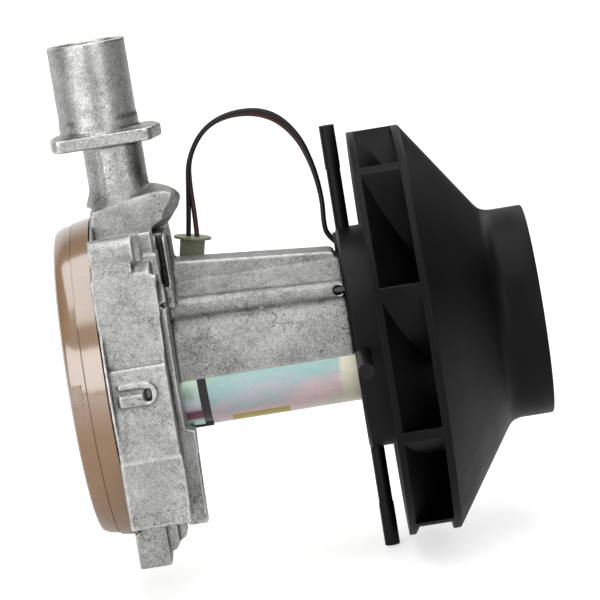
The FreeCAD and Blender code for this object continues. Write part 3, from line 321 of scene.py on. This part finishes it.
def moulded(name, light, dark, gloss, relief, rub=0.3, sockets=None, polish=None):
    """Moulded plastic or rubber with paler edges, partly rubbed and partly a painted highlight; its coat
    grows between the polished heights.
    """
    made, wire, into = finish(name, sockets or {})
    if polish:
        height = wire.add("SeparateXYZ", {0: wire.place()}).outputs[2]
        wire.feed(into["Coat Weight"], wire.span(height, *polish, 0.3, 1.0))
    skin = wire.use(MOULDED, light=(*light, 1.0), dark=(*dark, 1.0), gloss=gloss, rub=rub)
    wear_and_painted_light = wire.use(EDGE, radius=0.0004, breakup=300.0)
    # Painted highlight and rubbing: edges, rims above all, are paled.
    pale = tuple(min(1.0, part * 1.5 + 0.03) for part in light)
    worn_and_highlit = wire.maths("MULTIPLY", wear_and_painted_light["Edge"], 0.5)
    wire.feed(into["Base Color"], wire.blend(worn_and_highlit, skin["Color"], (*pale, 1.0)))
    wire.feed(into["Roughness"], skin["Roughness"])
    bumped(wire, into, skin["Height"], relief, wear_and_painted_light["Normal"])
    return made


# The bare field of the label on the can: its middle and half length in x, and its upper edge in z.
LABEL_MIDDLE = 0.0447
LABEL_HALF = 0.0093
LABEL_EDGE = -0.0167


def plated(name):
    """Zinc plated steel with its film of drifting colours and a bare olive label underneath."""
    made, wire, into = finish(name, {"Metallic": 1.0})
    film = wire.use(FILM)
    # Painted highlight and rubbing: edges are paled towards a pale grey.
    wear_and_painted_light = wire.use(EDGE, radius=0.0004)
    worn_and_highlit = wire.maths("MULTIPLY", wear_and_painted_light["Edge"], 0.5)
    base = wire.blend(worn_and_highlit, film["Color"], (0.80, 0.80, 0.76, 1.0))
    apart = wire.add("SeparateXYZ", {0: wire.place()}).outputs
    across = wire.maths("ABSOLUTE", wire.maths("SUBTRACT", apart[0], LABEL_MIDDLE))
    label = wire.maths("MULTIPLY", wire.maths("LESS_THAN", across, LABEL_HALF),
                       wire.maths("LESS_THAN", apart[2], LABEL_EDGE))
    base = wire.blend(label, base, (0.56, 0.46, 0.10, 1.0))
    wire.feed(into["Base Color"], base)
    wire.feed(into["Roughness"], film["Roughness"])
    bumped(wire, into, film["Height"], 0.00001, wear_and_painted_light["Normal"])
    return made


def drawn_metal(name, light, dark, rough, stretch=(1.0, 1.0, 1.0)):
    """Drawn or turned metal: fine lines of lighter and darker tone, with brighter edges, partly rubbed and
    partly a painted highlight.
    """
    made, wire, into = finish(name, {"Metallic": 1.0})
    lines = wire.add("Mapping", {"Vector": wire.place(), "Scale": stretch}).outputs[0]
    streak = wire.noise(2200.0, 4.0, 0.65, lines)
    cloud = wire.noise(160.0, 3.0)
    tone = wire.span(wire.maths("ADD", streak, wire.maths("MULTIPLY", cloud, 0.6)), 0.5, 1.1)
    wear_and_painted_light = wire.use(EDGE, radius=0.0003)
    base = wire.blend(tone, (*dark, 1.0), (*light, 1.0))
    # Painted highlight and rubbing: edges are brightened.
    bright = tuple(min(1.0, part * 1.25) for part in light)
    worn_and_highlit = wire.maths("MULTIPLY", wear_and_painted_light["Edge"], 0.5)
    wire.feed(into["Base Color"], wire.blend(worn_and_highlit, base, (*bright, 1.0)))
    wire.feed(into["Roughness"], wire.span(streak, 0.3, 0.7, rough - 0.06, rough + 0.08))
    bumped(wire, into, streak, 0.00001, wear_and_painted_light["Normal"])
    return made


ALUMINIUM = cast_metal("die cast aluminium", (0.66, 0.66, 0.64), (0.14, 0.14, 0.136), 0.00011)
BRACKET_ALUMINIUM = cast_metal("die cast aluminium, bracket", (0.60, 0.60, 0.583), (0.10, 0.10, 0.098),
                               0.00014)
COVER = moulded("tan cover plastic", (0.285, 0.152, 0.062), (0.235, 0.125, 0.048), 0.3, 0.000012, 0.15,
                {"Coat Roughness": 0.13, "Coat IOR": 2.4}, (-0.012, 0.005))
# Paler tan for the latch window frames, a painted highlight along their edges with some rubbing.
HIGHLIT_FRAME_PLASTIC = moulded("rubbed tan plastic with painted highlight", (0.52, 0.40, 0.29), (0.44, 0.33, 0.23), 0.35, 0.000012)
BLACK = moulded("black holder plastic", (0.008, 0.008, 0.008), (0.004, 0.004, 0.004), 0.42, 0.00002, 0.3,
                {"Specular IOR Level": 0.22})
FAN_BLACK = moulded("black fan plastic", (0.006, 0.006, 0.0065), (0.003, 0.003, 0.003), 0.38, 0.00002, 0.5,
                    {"Specular IOR Level": 0.12})
ZINC = plated("zinc plated steel")
RING = moulded("dark spacer plastic", (0.06, 0.045, 0.055), (0.03, 0.024, 0.03), 0.35, 0.00002)
STEEL = drawn_metal("bright steel", (0.74, 0.74, 0.75), (0.58, 0.58, 0.60), 0.24, (0.1, 1.0, 1.0))
# Blackened screws, also dark so that the notch in the bracket's rib reads as a shaded hole: painted shade.
DARK_STEEL = drawn_metal("blackened steel, dark as notch shade", (0.16, 0.16, 0.165), (0.09, 0.09, 0.095), 0.34, (0.1, 1.0, 1.0))
BRONZE = drawn_metal("sintered bronze", (0.56, 0.38, 0.19), (0.40, 0.26, 0.12), 0.42)
COPPER = drawn_metal("enamelled copper", (0.62, 0.27, 0.13), (0.42, 0.15, 0.07), 0.3, (0.15, 1.0, 1.0))
LAMINATED = drawn_metal("laminated steel", (0.34, 0.34, 0.36), (0.20, 0.20, 0.21), 0.45, (6.0, 1.0, 1.0))
FERRITE = moulded("magnet ferrite", (0.07, 0.07, 0.075), (0.035, 0.035, 0.04), 0.6, 0.00005)
BOARD = moulded("brush board", (0.30, 0.19, 0.09), (0.20, 0.12, 0.05), 0.5, 0.00003)
CARBON = moulded("brush carbon", (0.05, 0.05, 0.052), (0.025, 0.025, 0.027), 0.5, 0.00003)
NYLON = moulded("olive nylon", (0.35, 0.375, 0.24), (0.19, 0.205, 0.12), 0.34, 0.00001, 0.1,
                {"Subsurface Weight": 0.25, "Subsurface Radius": (0.002, 0.002, 0.0015),
                 "Subsurface Scale": 1.0})
TIN = drawn_metal("tinned contact", (0.76, 0.76, 0.74), (0.62, 0.62, 0.6), 0.3)
BLACK_LEAD = moulded("black insulation", (0.012, 0.010, 0.010), (0.006, 0.005, 0.005), 0.36, 0.00001, 0.2,
                     {"Specular IOR Level": 0.35})
RED_LEAD = moulded("red brown insulation", (0.085, 0.022, 0.016), (0.045, 0.012, 0.010), 0.36, 0.00001, 0.2)
RUBBER = moulded("seal rubber", (0.035, 0.035, 0.035), (0.018, 0.018, 0.018), 0.6, 0.00003)

DRESS = {
    "blower_housing": (ALUMINIUM, "cast_alloy"),
    "motor_bracket": (BRACKET_ALUMINIUM, "cast_alloy"),
    "channel_cover": (COVER, "cover_plastic"),
    "channel_seal": (RUBBER, "seal_rubber"),
    "bracket_screws": (STEEL, "bright_steel"),
    "motor_holder": (BLACK, "black_plastic"),
    "holder_screws": (DARK_STEEL, "bright_steel"),
    "motor_can": (ZINC, "plated_steel"),
    "rear_end_bell": (ZINC, "plated_steel"),
    "front_end_cap": (ZINC, "plated_steel"),
    "spacer_ring": (RING, "dark_plastic"),
    "rear_bush": (BRONZE, "bronze"),
    "front_bush": (BRONZE, "bronze"),
    "magnets": (FERRITE, "ferrite"),
    "motor_tie_rods": (STEEL, "bright_steel"),
    "brush_plate": (BOARD, "brush_board"),
    "brush_top": (CARBON, "brush_carbon"),
    "brush_guide_top": (BRONZE, "bronze"),
    "brush_spring_top": (STEEL, "bright_steel"),
    "brush_bottom": (CARBON, "brush_carbon"),
    "brush_guide_bottom": (BRONZE, "bronze"),
    "brush_spring_bottom": (STEEL, "bright_steel"),
    "connector_housing": (NYLON, "connector_nylon"),
    "connector_contacts": (TIN, "contact_tin"),
    "lead_grommet": (RUBBER, "seal_rubber"),
    "motor_shaft": (STEEL, "bright_steel"),
    "armature_core": (LAMINATED, "laminated_steel"),
    "armature_windings": (COPPER, "copper"),
    "commutator": (COPPER, "copper"),
    "channel_rotor": (FAN_BLACK, "fan_plastic"),
    "rotor_clip": (STEEL, "bright_steel"),
    "fan_wheel": (FAN_BLACK, "fan_plastic"),
    "fan_shroud": (FAN_BLACK, "fan_plastic"),
    "fan_clip": (STEEL, "bright_steel"),
}
BODY_OF = {node: body for body, nodes in frame["record"]["behaviour"]["bodies"].items() for node in nodes}


def piece(name, mesh, material, body, slot, *nodes):
    """A shown piece with one material that rides on a body and may stand for solids."""
    made = bpy.data.objects.new(name, mesh)
    bpy.context.scene.collection.objects.link(made)
    made.data.materials.clear()
    made.data.materials.append(material)
    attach(made, body)
    if nodes:
        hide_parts(*nodes)
    return made


WELD_STEP = 1e-6
SHARP_ANGLE = math.radians(32)


def welded(node):
    """A mesh of a solid with its doubles merged and its smooth faces shaded smooth."""
    source = frame["nodes"][node].data
    points = np.empty(len(source.vertices) * 3)
    source.vertices.foreach_get("co", points)
    corners = np.empty(len(source.loops), dtype=np.int64)
    source.loops.foreach_get("vertex_index", corners)
    grid = np.round(points.reshape(-1, 3) / WELD_STEP).astype(np.int64)
    first, back = np.unique(grid, axis=0, return_index=True, return_inverse=True)[1:]
    faces = back.reshape(-1)[corners].reshape(-1, 3)
    flat = (faces[:, 0] == faces[:, 1]) | (faces[:, 1] == faces[:, 2]) | (faces[:, 2] == faces[:, 0])
    mesh = bpy.data.meshes.new(node + "_skin")
    mesh.from_pydata(points.reshape(-1, 3)[first].tolist(), [], faces[~flat].tolist())
    mesh.shade_smooth()
    mesh.set_sharp_from_angle(angle=SHARP_ANGLE)
    return mesh


def outward(mesh):
    """The same closed mesh with its faces turned outwards."""
    whole = bmesh.new()
    whole.from_mesh(mesh)
    bmesh.ops.recalc_face_normals(whole, faces=whole.faces[:])
    whole.to_mesh(mesh)
    whole.free()
    return mesh


def prism(corners, start, end, along="Y", far=None):
    """A closed bar: a polygon in millimetres, carried along an axis and into a far polygon, if given."""
    flat = np.array(corners, dtype=float)
    count = len(flat)
    both = np.repeat(np.array([start, end], dtype=float), count)
    doubled = np.vstack([flat, flat if far is None else np.array(far, dtype=float)])
    order = {"X": (both, doubled[:, 0], doubled[:, 1]), "Y": (doubled[:, 0], both, doubled[:, 1])}
    points = np.stack(order[along], axis=1) * MM
    ring = np.arange(count)
    following = np.roll(ring, -1)
    sides = np.stack([ring, following, following + count, ring + count], axis=1)
    faces = [ring[::-1].tolist(), (ring + count).tolist()] + sides.tolist()
    mesh = bpy.data.meshes.new("bar")
    mesh.from_pydata(points.tolist(), [], faces)
    return outward(mesh)


def arc(inner, outer, start, end, steps=90):
    """The corners of a ring sector, its angles in degrees from the top towards the front.

    A corner's y is minus radius times sine, and its z radius times cosine.
    """
    angle = np.radians(np.linspace(start, end, steps))
    near = np.stack([-inner * np.sin(angle), inner * np.cos(angle)], axis=1)
    far = np.stack([-outer * np.sin(angle), outer * np.cos(angle)], axis=1)
    return np.vstack([near, far[::-1]])


def skirt(x, lowest, highest, wide, narrow, sides=64):
    """A closed frustum round an upright axis: two circles at two heights, joined by quads."""
    angle = np.linspace(0, 2 * math.pi, sides, endpoint=False)
    rings = [np.stack([x + radius * np.cos(angle), radius * np.sin(angle), np.full(sides, level)], axis=1)
             for radius, level in ((wide, lowest), (narrow, highest))]
    ring = np.arange(sides)
    following = np.roll(ring, -1)
    walls = np.stack([ring, following, following + sides, ring + sides], axis=1)
    mesh = bpy.data.meshes.new("skirt")
    mesh.from_pydata((np.vstack(rings) * MM).tolist(), [],
                     [ring[::-1].tolist(), (ring + sides).tolist()] + walls.tolist())
    return outward(mesh)


def united(meshes):
    """One mesh that holds several closed ones."""
    whole = bmesh.new()
    for mesh in meshes:
        whole.from_mesh(mesh)
    made = bpy.data.meshes.new("united")
    whole.to_mesh(made)
    whole.free()
    return made


def shaped(mesh, modifiers, weights=None):
    """The mesh that a row of modifiers makes of a mesh, each given by its kind and settings."""
    thing = bpy.data.objects.new("shaping", mesh)
    bpy.context.scene.collection.objects.link(thing)
    if weights is not None:
        group = thing.vertex_groups.new(name="region")
        for index in np.flatnonzero(weights > 0.0):
            group.add([int(index)], float(weights[index]), "REPLACE")
    for kind, settings in modifiers:
        modifier = thing.modifiers.new(kind.lower(), kind)
        for name, value in settings.items():
            setattr(modifier, name, value)
    made = bpy.data.meshes.new_from_object(thing.evaluated_get(bpy.context.evaluated_depsgraph_get()))
    bpy.data.objects.remove(thing)
    made.shade_smooth()
    return made


def trimmed(mesh, cutter):
    """A mesh with the room of a closed cutter taken out of it."""
    knife = bpy.data.objects.new("knife", cutter)
    bpy.context.scene.collection.objects.link(knife)
    made = shaped(mesh, [("BOOLEAN", {"operation": "DIFFERENCE", "solver": "EXACT", "object": knife})])
    bpy.data.objects.remove(knife)
    return made


# The grid that a casting's mesh is rebuilt on, how often all of it is relaxed, and how often a region is.
CAST_GRID = 0.0005
CAST_PASSES = 4
ROUND_PASSES = 45


def softened(mesh, region=None, share=1.0):
    """A mesh rebuilt on a fine grid and relaxed, so that edges and corners are round as cast ones are.

    The region is a function of the points that says how far each one joins the second, rounder pass.
    """
    made = shaped(mesh, [("REMESH", {"mode": "VOXEL", "voxel_size": CAST_GRID}),
                         ("SMOOTH", {"factor": 0.5, "iterations": CAST_PASSES})])
    weights = None
    rounder = {"factor": 0.5, "iterations": ROUND_PASSES, "vertex_group": "region"}
    row = [("DECIMATE", {"ratio": share})] if share < 1.0 else []
    if region:
        points = np.empty(len(made.vertices) * 3)
        made.vertices.foreach_get("co", points)
        weights = region(points.reshape(-1, 3) / MM)
        row.insert(0, ("SMOOTH", rounder))
    return shaped(made, row, weights)


# Bars that stand on the casting's front, in mm: a polygon in x and z, then its front and back in y.
CASTING_BARS = [
    # wedge at the end of the upper wall and its lip
    ([(18.4, 8.6), (19.2, 8.6), (20.5, 36.4), (18.4, 36.4)], -47.15, -44.4),
    ([(18.5, 8.6), (19.3, 8.6), (20.6, 36.4), (19.7, 36.4)], -47.5, -45.0),
    # lips at the end and the top of the panel
    ([(18.2, -20.0), (19.3, -20.0), (19.3, 9.0), (18.2, 9.0)], -48.95, -46.0),
    ([(0.6, 8.2), (19.2, 8.2), (19.2, 9.0), (0.6, 9.0)], -48.9, -46.0),
    # lips round the lower block
    ([(18.4, -41.4), (19.3, -41.4), (19.9, -24.0), (19.5, -19.8), (18.4, -19.8)], -49.8, -46.0),
    ([(0.8, -41.4), (1.7, -41.4), (1.7, -19.8), (0.8, -19.8)], -49.8, -47.0),
    ([(0.9, -20.9), (19.4, -20.9), (19.4, -19.8), (0.9, -19.8)], -49.85, -46.0),
    ([(0.9, -41.4), (19.2, -41.4), (19.2, -40.5), (0.9, -40.5)], -49.8, -46.0),
    # strips that carry the upper wall, the panel and the block up to the cover
    ([(0.15, 8.2), (1.6, 8.2), (1.6, 36.6), (0.15, 36.6)], -47.1, -44.5),
    ([(0.15, -20.0), (1.6, -20.0), (1.6, 9.0), (0.15, 9.0)], -48.8, -46.0),
    ([(0.15, -41.4), (1.6, -41.4), (1.6, -19.8), (0.15, -19.8)], -49.6, -46.0),
    # tab on the panel
    ([(0.9, -4.2), (3.4, -4.4), (4.0, -5.6), (3.9, -8.6), (2.7, -14.4), (1.6, -15.8), (0.9, -16.0)],
     -49.35, -48.0),
    # root of the foot's toe under the cover
    ([(-1.5, -51.5), (2.0, -51.5), (2.0, -44.0), (0.2, -44.0), (-0.2, -49.0), (-1.5, -49.4)], -15.9, 0.8),
]
# The fillet under the front boss, a polygon in y and z with its two ends in x.
BOSS_FILLET = [(-45.2, 42.0), (-46.2, 40.4), (-46.7, 38.8), (-46.5, 36.6), (-42.0, 36.6), (-41.0, 41.5)]
BOSS_FILLET_ENDS = (1.1, 13.6)
# The lobe of the shoulder's nose: its crest in front and its outline behind in x and z, and both in y.
NOSE_CREST = [(14.0, 46.0), (19.6, 47.0), (23.4, 49.0), (24.9, 52.2), (26.9, 54.4), (28.1, 56.8),
              (26.0, 57.7), (22.0, 58.3), (14.0, 57.2)]
NOSE_MIDDLE = [(14.0, 45.5), (25.0, 46.6), (26.7, 48.7), (29.0, 51.4), (29.8, 53.6), (29.0, 56.8),
               (26.0, 58.8), (22.0, 60.2), (14.0, 58.0)]
NOSE_ENDS = (-12.1, -1.0)
# The rim that meets the cover: its radii and angles, and its two ends in x.
RIM_SECTOR = (40.0, 51.6, 4, 150)
RIM_ENDS = (0.1, 1.3)
# The skirt under the spigot's flange: its axis in x, its two heights and its two radii.
NECK_SKIRT = (11.1, 55.5, 61.0, 11.6, 9.4)
# The room of the shoulder's upper front edge: an axis, where the edge's slope starts and where it is full.
EDGE_ROOM = [(0, 25.0, 22.0), (0, -2.0, -1.0), (1, -7.0, -9.0), (2, 51.0, 53.0), (2, 61.0, 59.5)]
# The share of the housing's triangles that is kept.
HOUSING_SHARE = 0.52


def upper_front(points):
    """One round the upper front edge of the inlet shoulder and none beside it, as the points (mm) lie.

    The value is a product of straight slopes, each rising from 0 to 1 between two places on an axis.
    """
    share = np.ones(len(points))
    for axis, outside, inside in EDGE_ROOM:
        share *= np.clip((points[:, axis] - outside) / (inside - outside), 0.0, 1.0)
    return share


def housing_skin():
    """The casting with its raised lips, its fillets, the lobe of its nose and its rim at the cover."""
    extras = [prism(corners, front, back) for corners, front, back in CASTING_BARS]
    extras += [
        prism(BOSS_FILLET, *BOSS_FILLET_ENDS, "X"),
        prism(arc(*RIM_SECTOR), *RIM_ENDS, "X"),
        prism(NOSE_CREST, *NOSE_ENDS, "Y", NOSE_MIDDLE),
        skirt(*NECK_SKIRT)]
    return softened(united([welded("blower_housing")] + extras), upper_front, HOUSING_SHARE)


# The bracket's leg, a polygon in x and z with its two ends in y.
LEG = [(17.0, -45.2), (23.5, -45.2), (24.1, -18.0), (19.0, -18.0)]
LEG_ENDS = (-36.0, -29.0)


def bracket_skin():
    """The bracket with a wider leg."""
    return softened(united([welded("motor_bracket"), prism(LEG, *LEG_ENDS)]))


RING_SHARP_ANGLE = math.radians(28)


def turned_ring(profile, sides=180):
    """A closed ring: a profile of places and radii in millimetres, turned about the motor axis.

    A point lies at its place in x, and at minus radius times sine and radius times cosine of the turn.
    """
    flat = np.array(profile, dtype=float)
    count = len(flat)
    angle = np.linspace(0, 2 * math.pi, sides, endpoint=False)
    x = np.tile(flat[:, 0], sides)
    radius = np.tile(flat[:, 1], sides)
    spin = np.repeat(angle, count)
    points = np.stack([x, -radius * np.sin(spin), radius * np.cos(spin)], axis=1) * MM
    turn = np.repeat(np.arange(sides), count)
    step = np.tile(np.arange(count), sides)
    ahead = (step + 1) % count
    beside = (turn + 1) % sides
    faces = np.stack([turn * count + step, turn * count + ahead, beside * count + ahead,
                      beside * count + step], axis=1)
    mesh = bpy.data.meshes.new("ring")
    mesh.from_pydata(points.tolist(), [], faces.tolist())
    outward(mesh)
    mesh.shade_smooth()
    mesh.set_sharp_from_angle(angle=RING_SHARP_ANGLE)
    return mesh


def shroud_skin():
    """The shroud cone, its soft bend into the collar and the collar with a thin bead at its mouth."""
    return turned_ring([
        (99.8, 65.7), (101.8, 65.7), (102.2, 65.55), (102.5, 65.2), (109.0, 55.8), (115.5, 46.4),
        (122.0, 37.0), (122.8, 35.9), (123.7, 35.0), (124.8, 34.4), (126.0, 34.05), (127.2, 33.9),
        (132.0, 33.9), (136.9, 33.9), (137.3, 33.75), (137.5, 33.4), (137.5, 32.6), (137.3, 32.2),
        (136.9, 32.1), (127.0, 32.1), (124.5, 32.5), (122.8, 33.4), (121.3, 34.9), (114.0, 45.6),
        (107.0, 55.6)])


# A latch window's frame, in mm in x and z: its end, its lower side and its upper side.
FRAME_BARS = [[(-7.95, 0.1), (-7.65, 0.1), (-7.65, 6.5), (-7.95, 6.5)],
              [(-10.4, 0.1), (-7.65, 0.1), (-7.65, 0.4), (-10.4, 0.4)],
              [(-10.4, 6.2), (-7.65, 6.2), (-7.65, 6.5), (-10.4, 6.5)]]
FRAME_ENDS = (-50.15, -48.6)


def window_frames():
    """Thin raised frames round the latch windows at the front and, after half a turn, at the back."""
    bars = []
    for half_turns in (0, 1):
        turn = Matrix.Rotation(math.pi * half_turns, 4, "X")
        for corners in FRAME_BARS:
            bar = prism(corners, *FRAME_ENDS)
            bar.transform(turn)
            bars.append(bar)
    return united(bars)


# The cover's depth and the radius where its side wall starts, then how far that wall moves out at the
# face and how much further at the rim.
COVER_DEPTH = 0.0119
COVER_SIDE = 0.0425
COVER_SIDE_SPAN = 0.003
FACE_FLARE = 0.0010
RIM_FLARE = 0.0013
STEP_GROOVE = [(-6.15, 50.0), (-5.8, 50.0), (-5.8, 53.0), (-6.15, 53.0)]


def cover_skin():
    """The cover with a groove at its step and its side wall moved outwards, most at the casting."""
    mesh = welded("channel_cover")
    points = np.empty(len(mesh.vertices) * 3)
    mesh.vertices.foreach_get("co", points)
    points = points.reshape(-1, 3)
    radius = np.hypot(points[:, 1], points[:, 2])
    outer = np.clip((radius - COVER_SIDE) / COVER_SIDE_SPAN, 0.0, 1.0)
    along = np.clip((points[:, 0] + COVER_DEPTH) / COVER_DEPTH, 0.0, 1.0)
    grown = 1.0 + outer * (FACE_FLARE + RIM_FLARE * along) / np.maximum(radius, MM)
    points[:, 1:] *= grown[:, None]
    mesh.vertices.foreach_set("co", points.reshape(-1))
    mesh.update()
    made = trimmed(mesh, turned_ring(STEP_GROOVE))
    made.set_sharp_from_angle(angle=SHARP_ANGLE)
    return made


SKINS = {"blower_housing": housing_skin, "motor_bracket": bracket_skin, "fan_shroud": shroud_skin,
         "channel_cover": cover_skin}

for node, (material, slot) in DRESS.items():
    skin = SKINS[node]() if node in SKINS else welded(node)
    piece(node + "_dressed", skin, material, BODY_OF[node], slot, node)
# The frames are paler than the cover, a painted highlight along the window edges.
piece("latch_window_frames", window_frames(), HIGHLIT_FRAME_PLASTIC, BODY_OF["channel_cover"], "cover_plastic")


# Leads, in mm: where the plug lies and how it leans, then how far the two leads stand apart.
PLUG_CENTER = 31.1
PLUG_BACK = 16.0
PLUG_TOP = 39.0
PLUG_TILT = math.radians(12)
LEAD_GAP = 2.8
LEAD_SPREAD = 1.8
LEAD_DIAMETER = 1.64
ARCH = Vector((53, 13.2, 52))
GROMMET = Vector((77.8, 11.6, 29.4))
# Corners of the arch, each with how far the lead behind dips inside it.
CROWN = [((33.7, 15.0, 64.4), 0.0), ((40.2, 14.3, 73.6), 0.0), ((50.2, 13.6, 77.5), 0.8),
         ((62.2, 13.0, 76.2), 1.7), ((70.2, 12.6, 67.5), 1.0), ((73.7, 12.2, 55.6), 0.3),
         ((74.7, 11.9, 44.6), 0.0), ((74.0, 11.7, 37.4), 0.0), ((74.4, 11.6, 32.8), 0.0)]


def lead_route(shift):
    """Control points of a lead from the grommet over the arch to the connector, beside its neighbour."""
    aside = Vector((0.0, LEAD_SPREAD * shift, 0.0))
    across = Vector((math.cos(PLUG_TILT), 0.0, -math.sin(PLUG_TILT)))
    points = [Vector((PLUG_CENTER, PLUG_BACK, PLUG_TOP)) + across * LEAD_GAP * shift,
              Vector((31.9 + 2.0 * shift, PLUG_BACK, 46.0)),
              Vector((32.5 + 0.6 * shift, 15.6, 54.5)) + aside]
    for corner, dip in CROWN:
        corner = Vector(corner)
        inward = (ARCH - corner).normalized() * dip * (shift + 0.5)
        points.append(corner + inward + aside)
    points.append(GROMMET + aside)
    return [point * MM for point in reversed(points)]


def lead(name, node, shift, material, slot):
    """A lead as one smooth round curve through its route's control points."""
    points = lead_route(shift)
    curve = bpy.data.curves.new(name, "CURVE")
    curve.dimensions = "3D"
    spline = curve.splines.new("NURBS")
    spline.points.add(len(points) - 1)
    for knot, point in zip(spline.points, points):
        knot.co = (*point, 1.0)
    spline.order_u = 3
    spline.use_endpoint_u = True
    spline.resolution_u = 12
    curve.bevel_depth = LEAD_DIAMETER * MM / 2
    curve.bevel_resolution = 6
    curve.use_fill_caps = True
    made = piece(name, curve, material, "stator", slot, node)
    return made


lead("black_lead_run", "lead_black", -0.5, BLACK_LEAD, "lead_black")
lead("red_lead_run", "lead_red", 0.5, RED_LEAD, "lead_red")


# Floor, light and camera
FLOOR_HALF = 12.0
FLOOR_GAP = 0.0008
# How bright the floor is by itself for the camera, near and far, and in gloss, in front and behind.
NEAR_GLOW = 0.62
FAR_GLOW = 1.0
FRONT_GLOSS = 0.12
BACK_GLOSS = 0.5
BACK_LEAN = 0.75


def floor():
    """A wide pale square under the part."""
    half = FLOOR_HALF
    level = cad_box[0][2] - FLOOR_GAP
    corners = [(-half, -half, level), (half, -half, level), (half, half, level), (-half, half, level)]
    mesh = bpy.data.meshes.new("studio_floor")
    mesh.from_pydata(corners, [], [(0, 1, 2, 3)])
    made = bpy.data.objects.new("studio_floor", mesh)
    bpy.context.scene.collection.objects.link(made)
    paint, wire, into = finish("pale floor", {"Roughness": 0.6, "Emission Color": (1.0, 1.0, 1.0, 1.0)})
    speck = wire.noise(40.0, 2.0)
    wire.feed(into["Base Color"], wire.blend(speck, (0.80, 0.80, 0.80, 1.0), (0.82, 0.82, 0.82, 1.0)))
    path = wire.add("LightPath").outputs
    apart = wire.add("SeparateXYZ", {0: wire.place()}).outputs
    back_left = wire.maths("SUBTRACT", apart[1], wire.maths("MULTIPLY", apart[0], BACK_LEAN))
    behind = wire.span(back_left, 0.2, 1.0)
    gloss = wire.maths("MAXIMUM", path["Is Glossy Ray"], path["Is Transmission Ray"])
    seen = wire.maths("MULTIPLY", path["Is Camera Ray"], wire.span(apart[1], 0.6, 3.0, NEAR_GLOW, FAR_GLOW))
    glow = wire.maths("MULTIPLY", gloss, wire.span(behind, 0.0, 1.0, FRONT_GLOSS, BACK_GLOSS))
    wire.feed(into["Emission Strength"], wire.maths("ADD", seen, glow))
    mesh.materials.append(paint)


def studio_light(name, place, aim, width, height, power):
    """A soft rectangular lamp at a place, turned to its aim."""
    light = bpy.data.lights.new(name, "AREA")
    light.shape = "RECTANGLE"
    light.size = width
    light.size_y = height
    light.energy = power
    made = bpy.data.objects.new(name, light)
    bpy.context.scene.collection.objects.link(made)
    made.location = place
    made.rotation_euler = (Vector(aim) - Vector(place)).to_track_quat("-Z", "Y").to_euler()


# The room's light: at the back left, overhead, high at the back right, in front, and all round.
BACK_LEVEL = 0.5
ABOVE_LEVEL = 0.25
HIGH_LEVEL = 1.3
AHEAD_LEVEL = 0.25
ROOM_LEVEL = 0.06


def studio_world():
    """White where the camera looks; gloss shows that white at the back left and the rest is dimmer."""
    world = bpy.data.worlds.new("studio")
    bpy.context.scene.world = world
    world.use_nodes = True
    wire = Wiring(world.node_tree)
    backdrop = world.node_tree.nodes["Background"]
    way = wire.add("SeparateXYZ", {0: wire.add("TexCoord").outputs["Generated"]}).outputs
    back_left = wire.maths("SUBTRACT", way[1], wire.maths("MULTIPLY", way[0], BACK_LEAN))
    behind = wire.span(back_left, 0.85, 1.1)
    back_right = wire.maths("MULTIPLY", wire.span(way[1], 0.3, 0.6), wire.span(way[0], 0.0, 0.25))
    high = wire.maths("MULTIPLY", wire.span(way[2], 0.25, 0.45, 0.0, HIGH_LEVEL), back_right)
    above = wire.maths("ADD", wire.span(way[2], 0.1, 1.0, 0.0, ABOVE_LEVEL), high)
    ahead = wire.span(way[1], -0.2, -0.7, 0.0, AHEAD_LEVEL)
    room = wire.maths("ADD", wire.maths("ADD", wire.maths("MULTIPLY", behind, BACK_LEVEL), above),
                      wire.maths("ADD", ahead, ROOM_LEVEL))
    path = wire.add("LightPath").outputs
    gloss = wire.maths("MAXIMUM", path["Is Glossy Ray"], path["Is Transmission Ray"])
    white = wire.maths("ADD", path["Is Camera Ray"], wire.maths("MULTIPLY", gloss, behind), True)
    level = wire.add("Mix", {0: white, 2: room, 3: 1.0}, data_type="FLOAT").outputs[0]
    wire.feed(backdrop.inputs["Strength"], level)
    backdrop.inputs["Color"].default_value = (1.0, 1.0, 1.0, 1.0)


floor()
studio_world()
studio_light("left softbox", (-0.66, -1.05, 0.32), (0.05, 0, 0.03), 1.15, 0.66, 5.6)
studio_light("right softbox", (0.72, -1.12, 0.40), (0.06, 0, 0.03), 0.45, 0.9, 2.8)
studio_light("overhead softbox", (0.0, -0.33, 1.25), (0.0, -0.33, 0), 1.3, 1.6, 13.0)

CAMERA_PITCH = math.radians(8.01)
CAMERA_SIDE = math.radians(0.68)
CAMERA_ROLL = math.radians(9.2)
CAMERA_DISTANCE = 0.985
CAMERA_AIM = Vector((0.0625, 0.0, 0.01485))
SENSOR = 36.0
FOCAL_PIXELS = 3055.9
FRAME_PIXELS = 600


def photo_camera():
    """Looks along +Y from slightly above, rolled so that the motor axis rises to the right."""
    forward = Vector((-math.sin(CAMERA_SIDE) * math.cos(CAMERA_PITCH),
                      math.cos(CAMERA_SIDE) * math.cos(CAMERA_PITCH), -math.sin(CAMERA_PITCH)))
    right = Vector((math.cos(CAMERA_SIDE), math.sin(CAMERA_SIDE), 0.0))
    up = right.cross(forward)
    across = right * math.cos(CAMERA_ROLL) - up * math.sin(CAMERA_ROLL)
    upward = right * math.sin(CAMERA_ROLL) + up * math.cos(CAMERA_ROLL)
    turn = Matrix((across, upward, -forward)).transposed().to_4x4()
    lens = bpy.data.cameras.new("photo_camera")
    lens.sensor_width = SENSOR
    lens.lens = FOCAL_PIXELS / FRAME_PIXELS * SENSOR
    lens.clip_start = 0.05
    lens.clip_end = 20.0
    made = bpy.data.objects.new("photo_camera", lens)
    bpy.context.scene.collection.objects.link(made)
    made.matrix_world = Matrix.Translation(CAMERA_AIM - forward * CAMERA_DISTANCE) @ turn
    bpy.context.scene.camera = made


photo_camera()
bpy.context.scene.view_settings.view_transform = "Standard"
bpy.context.view_layer.update()
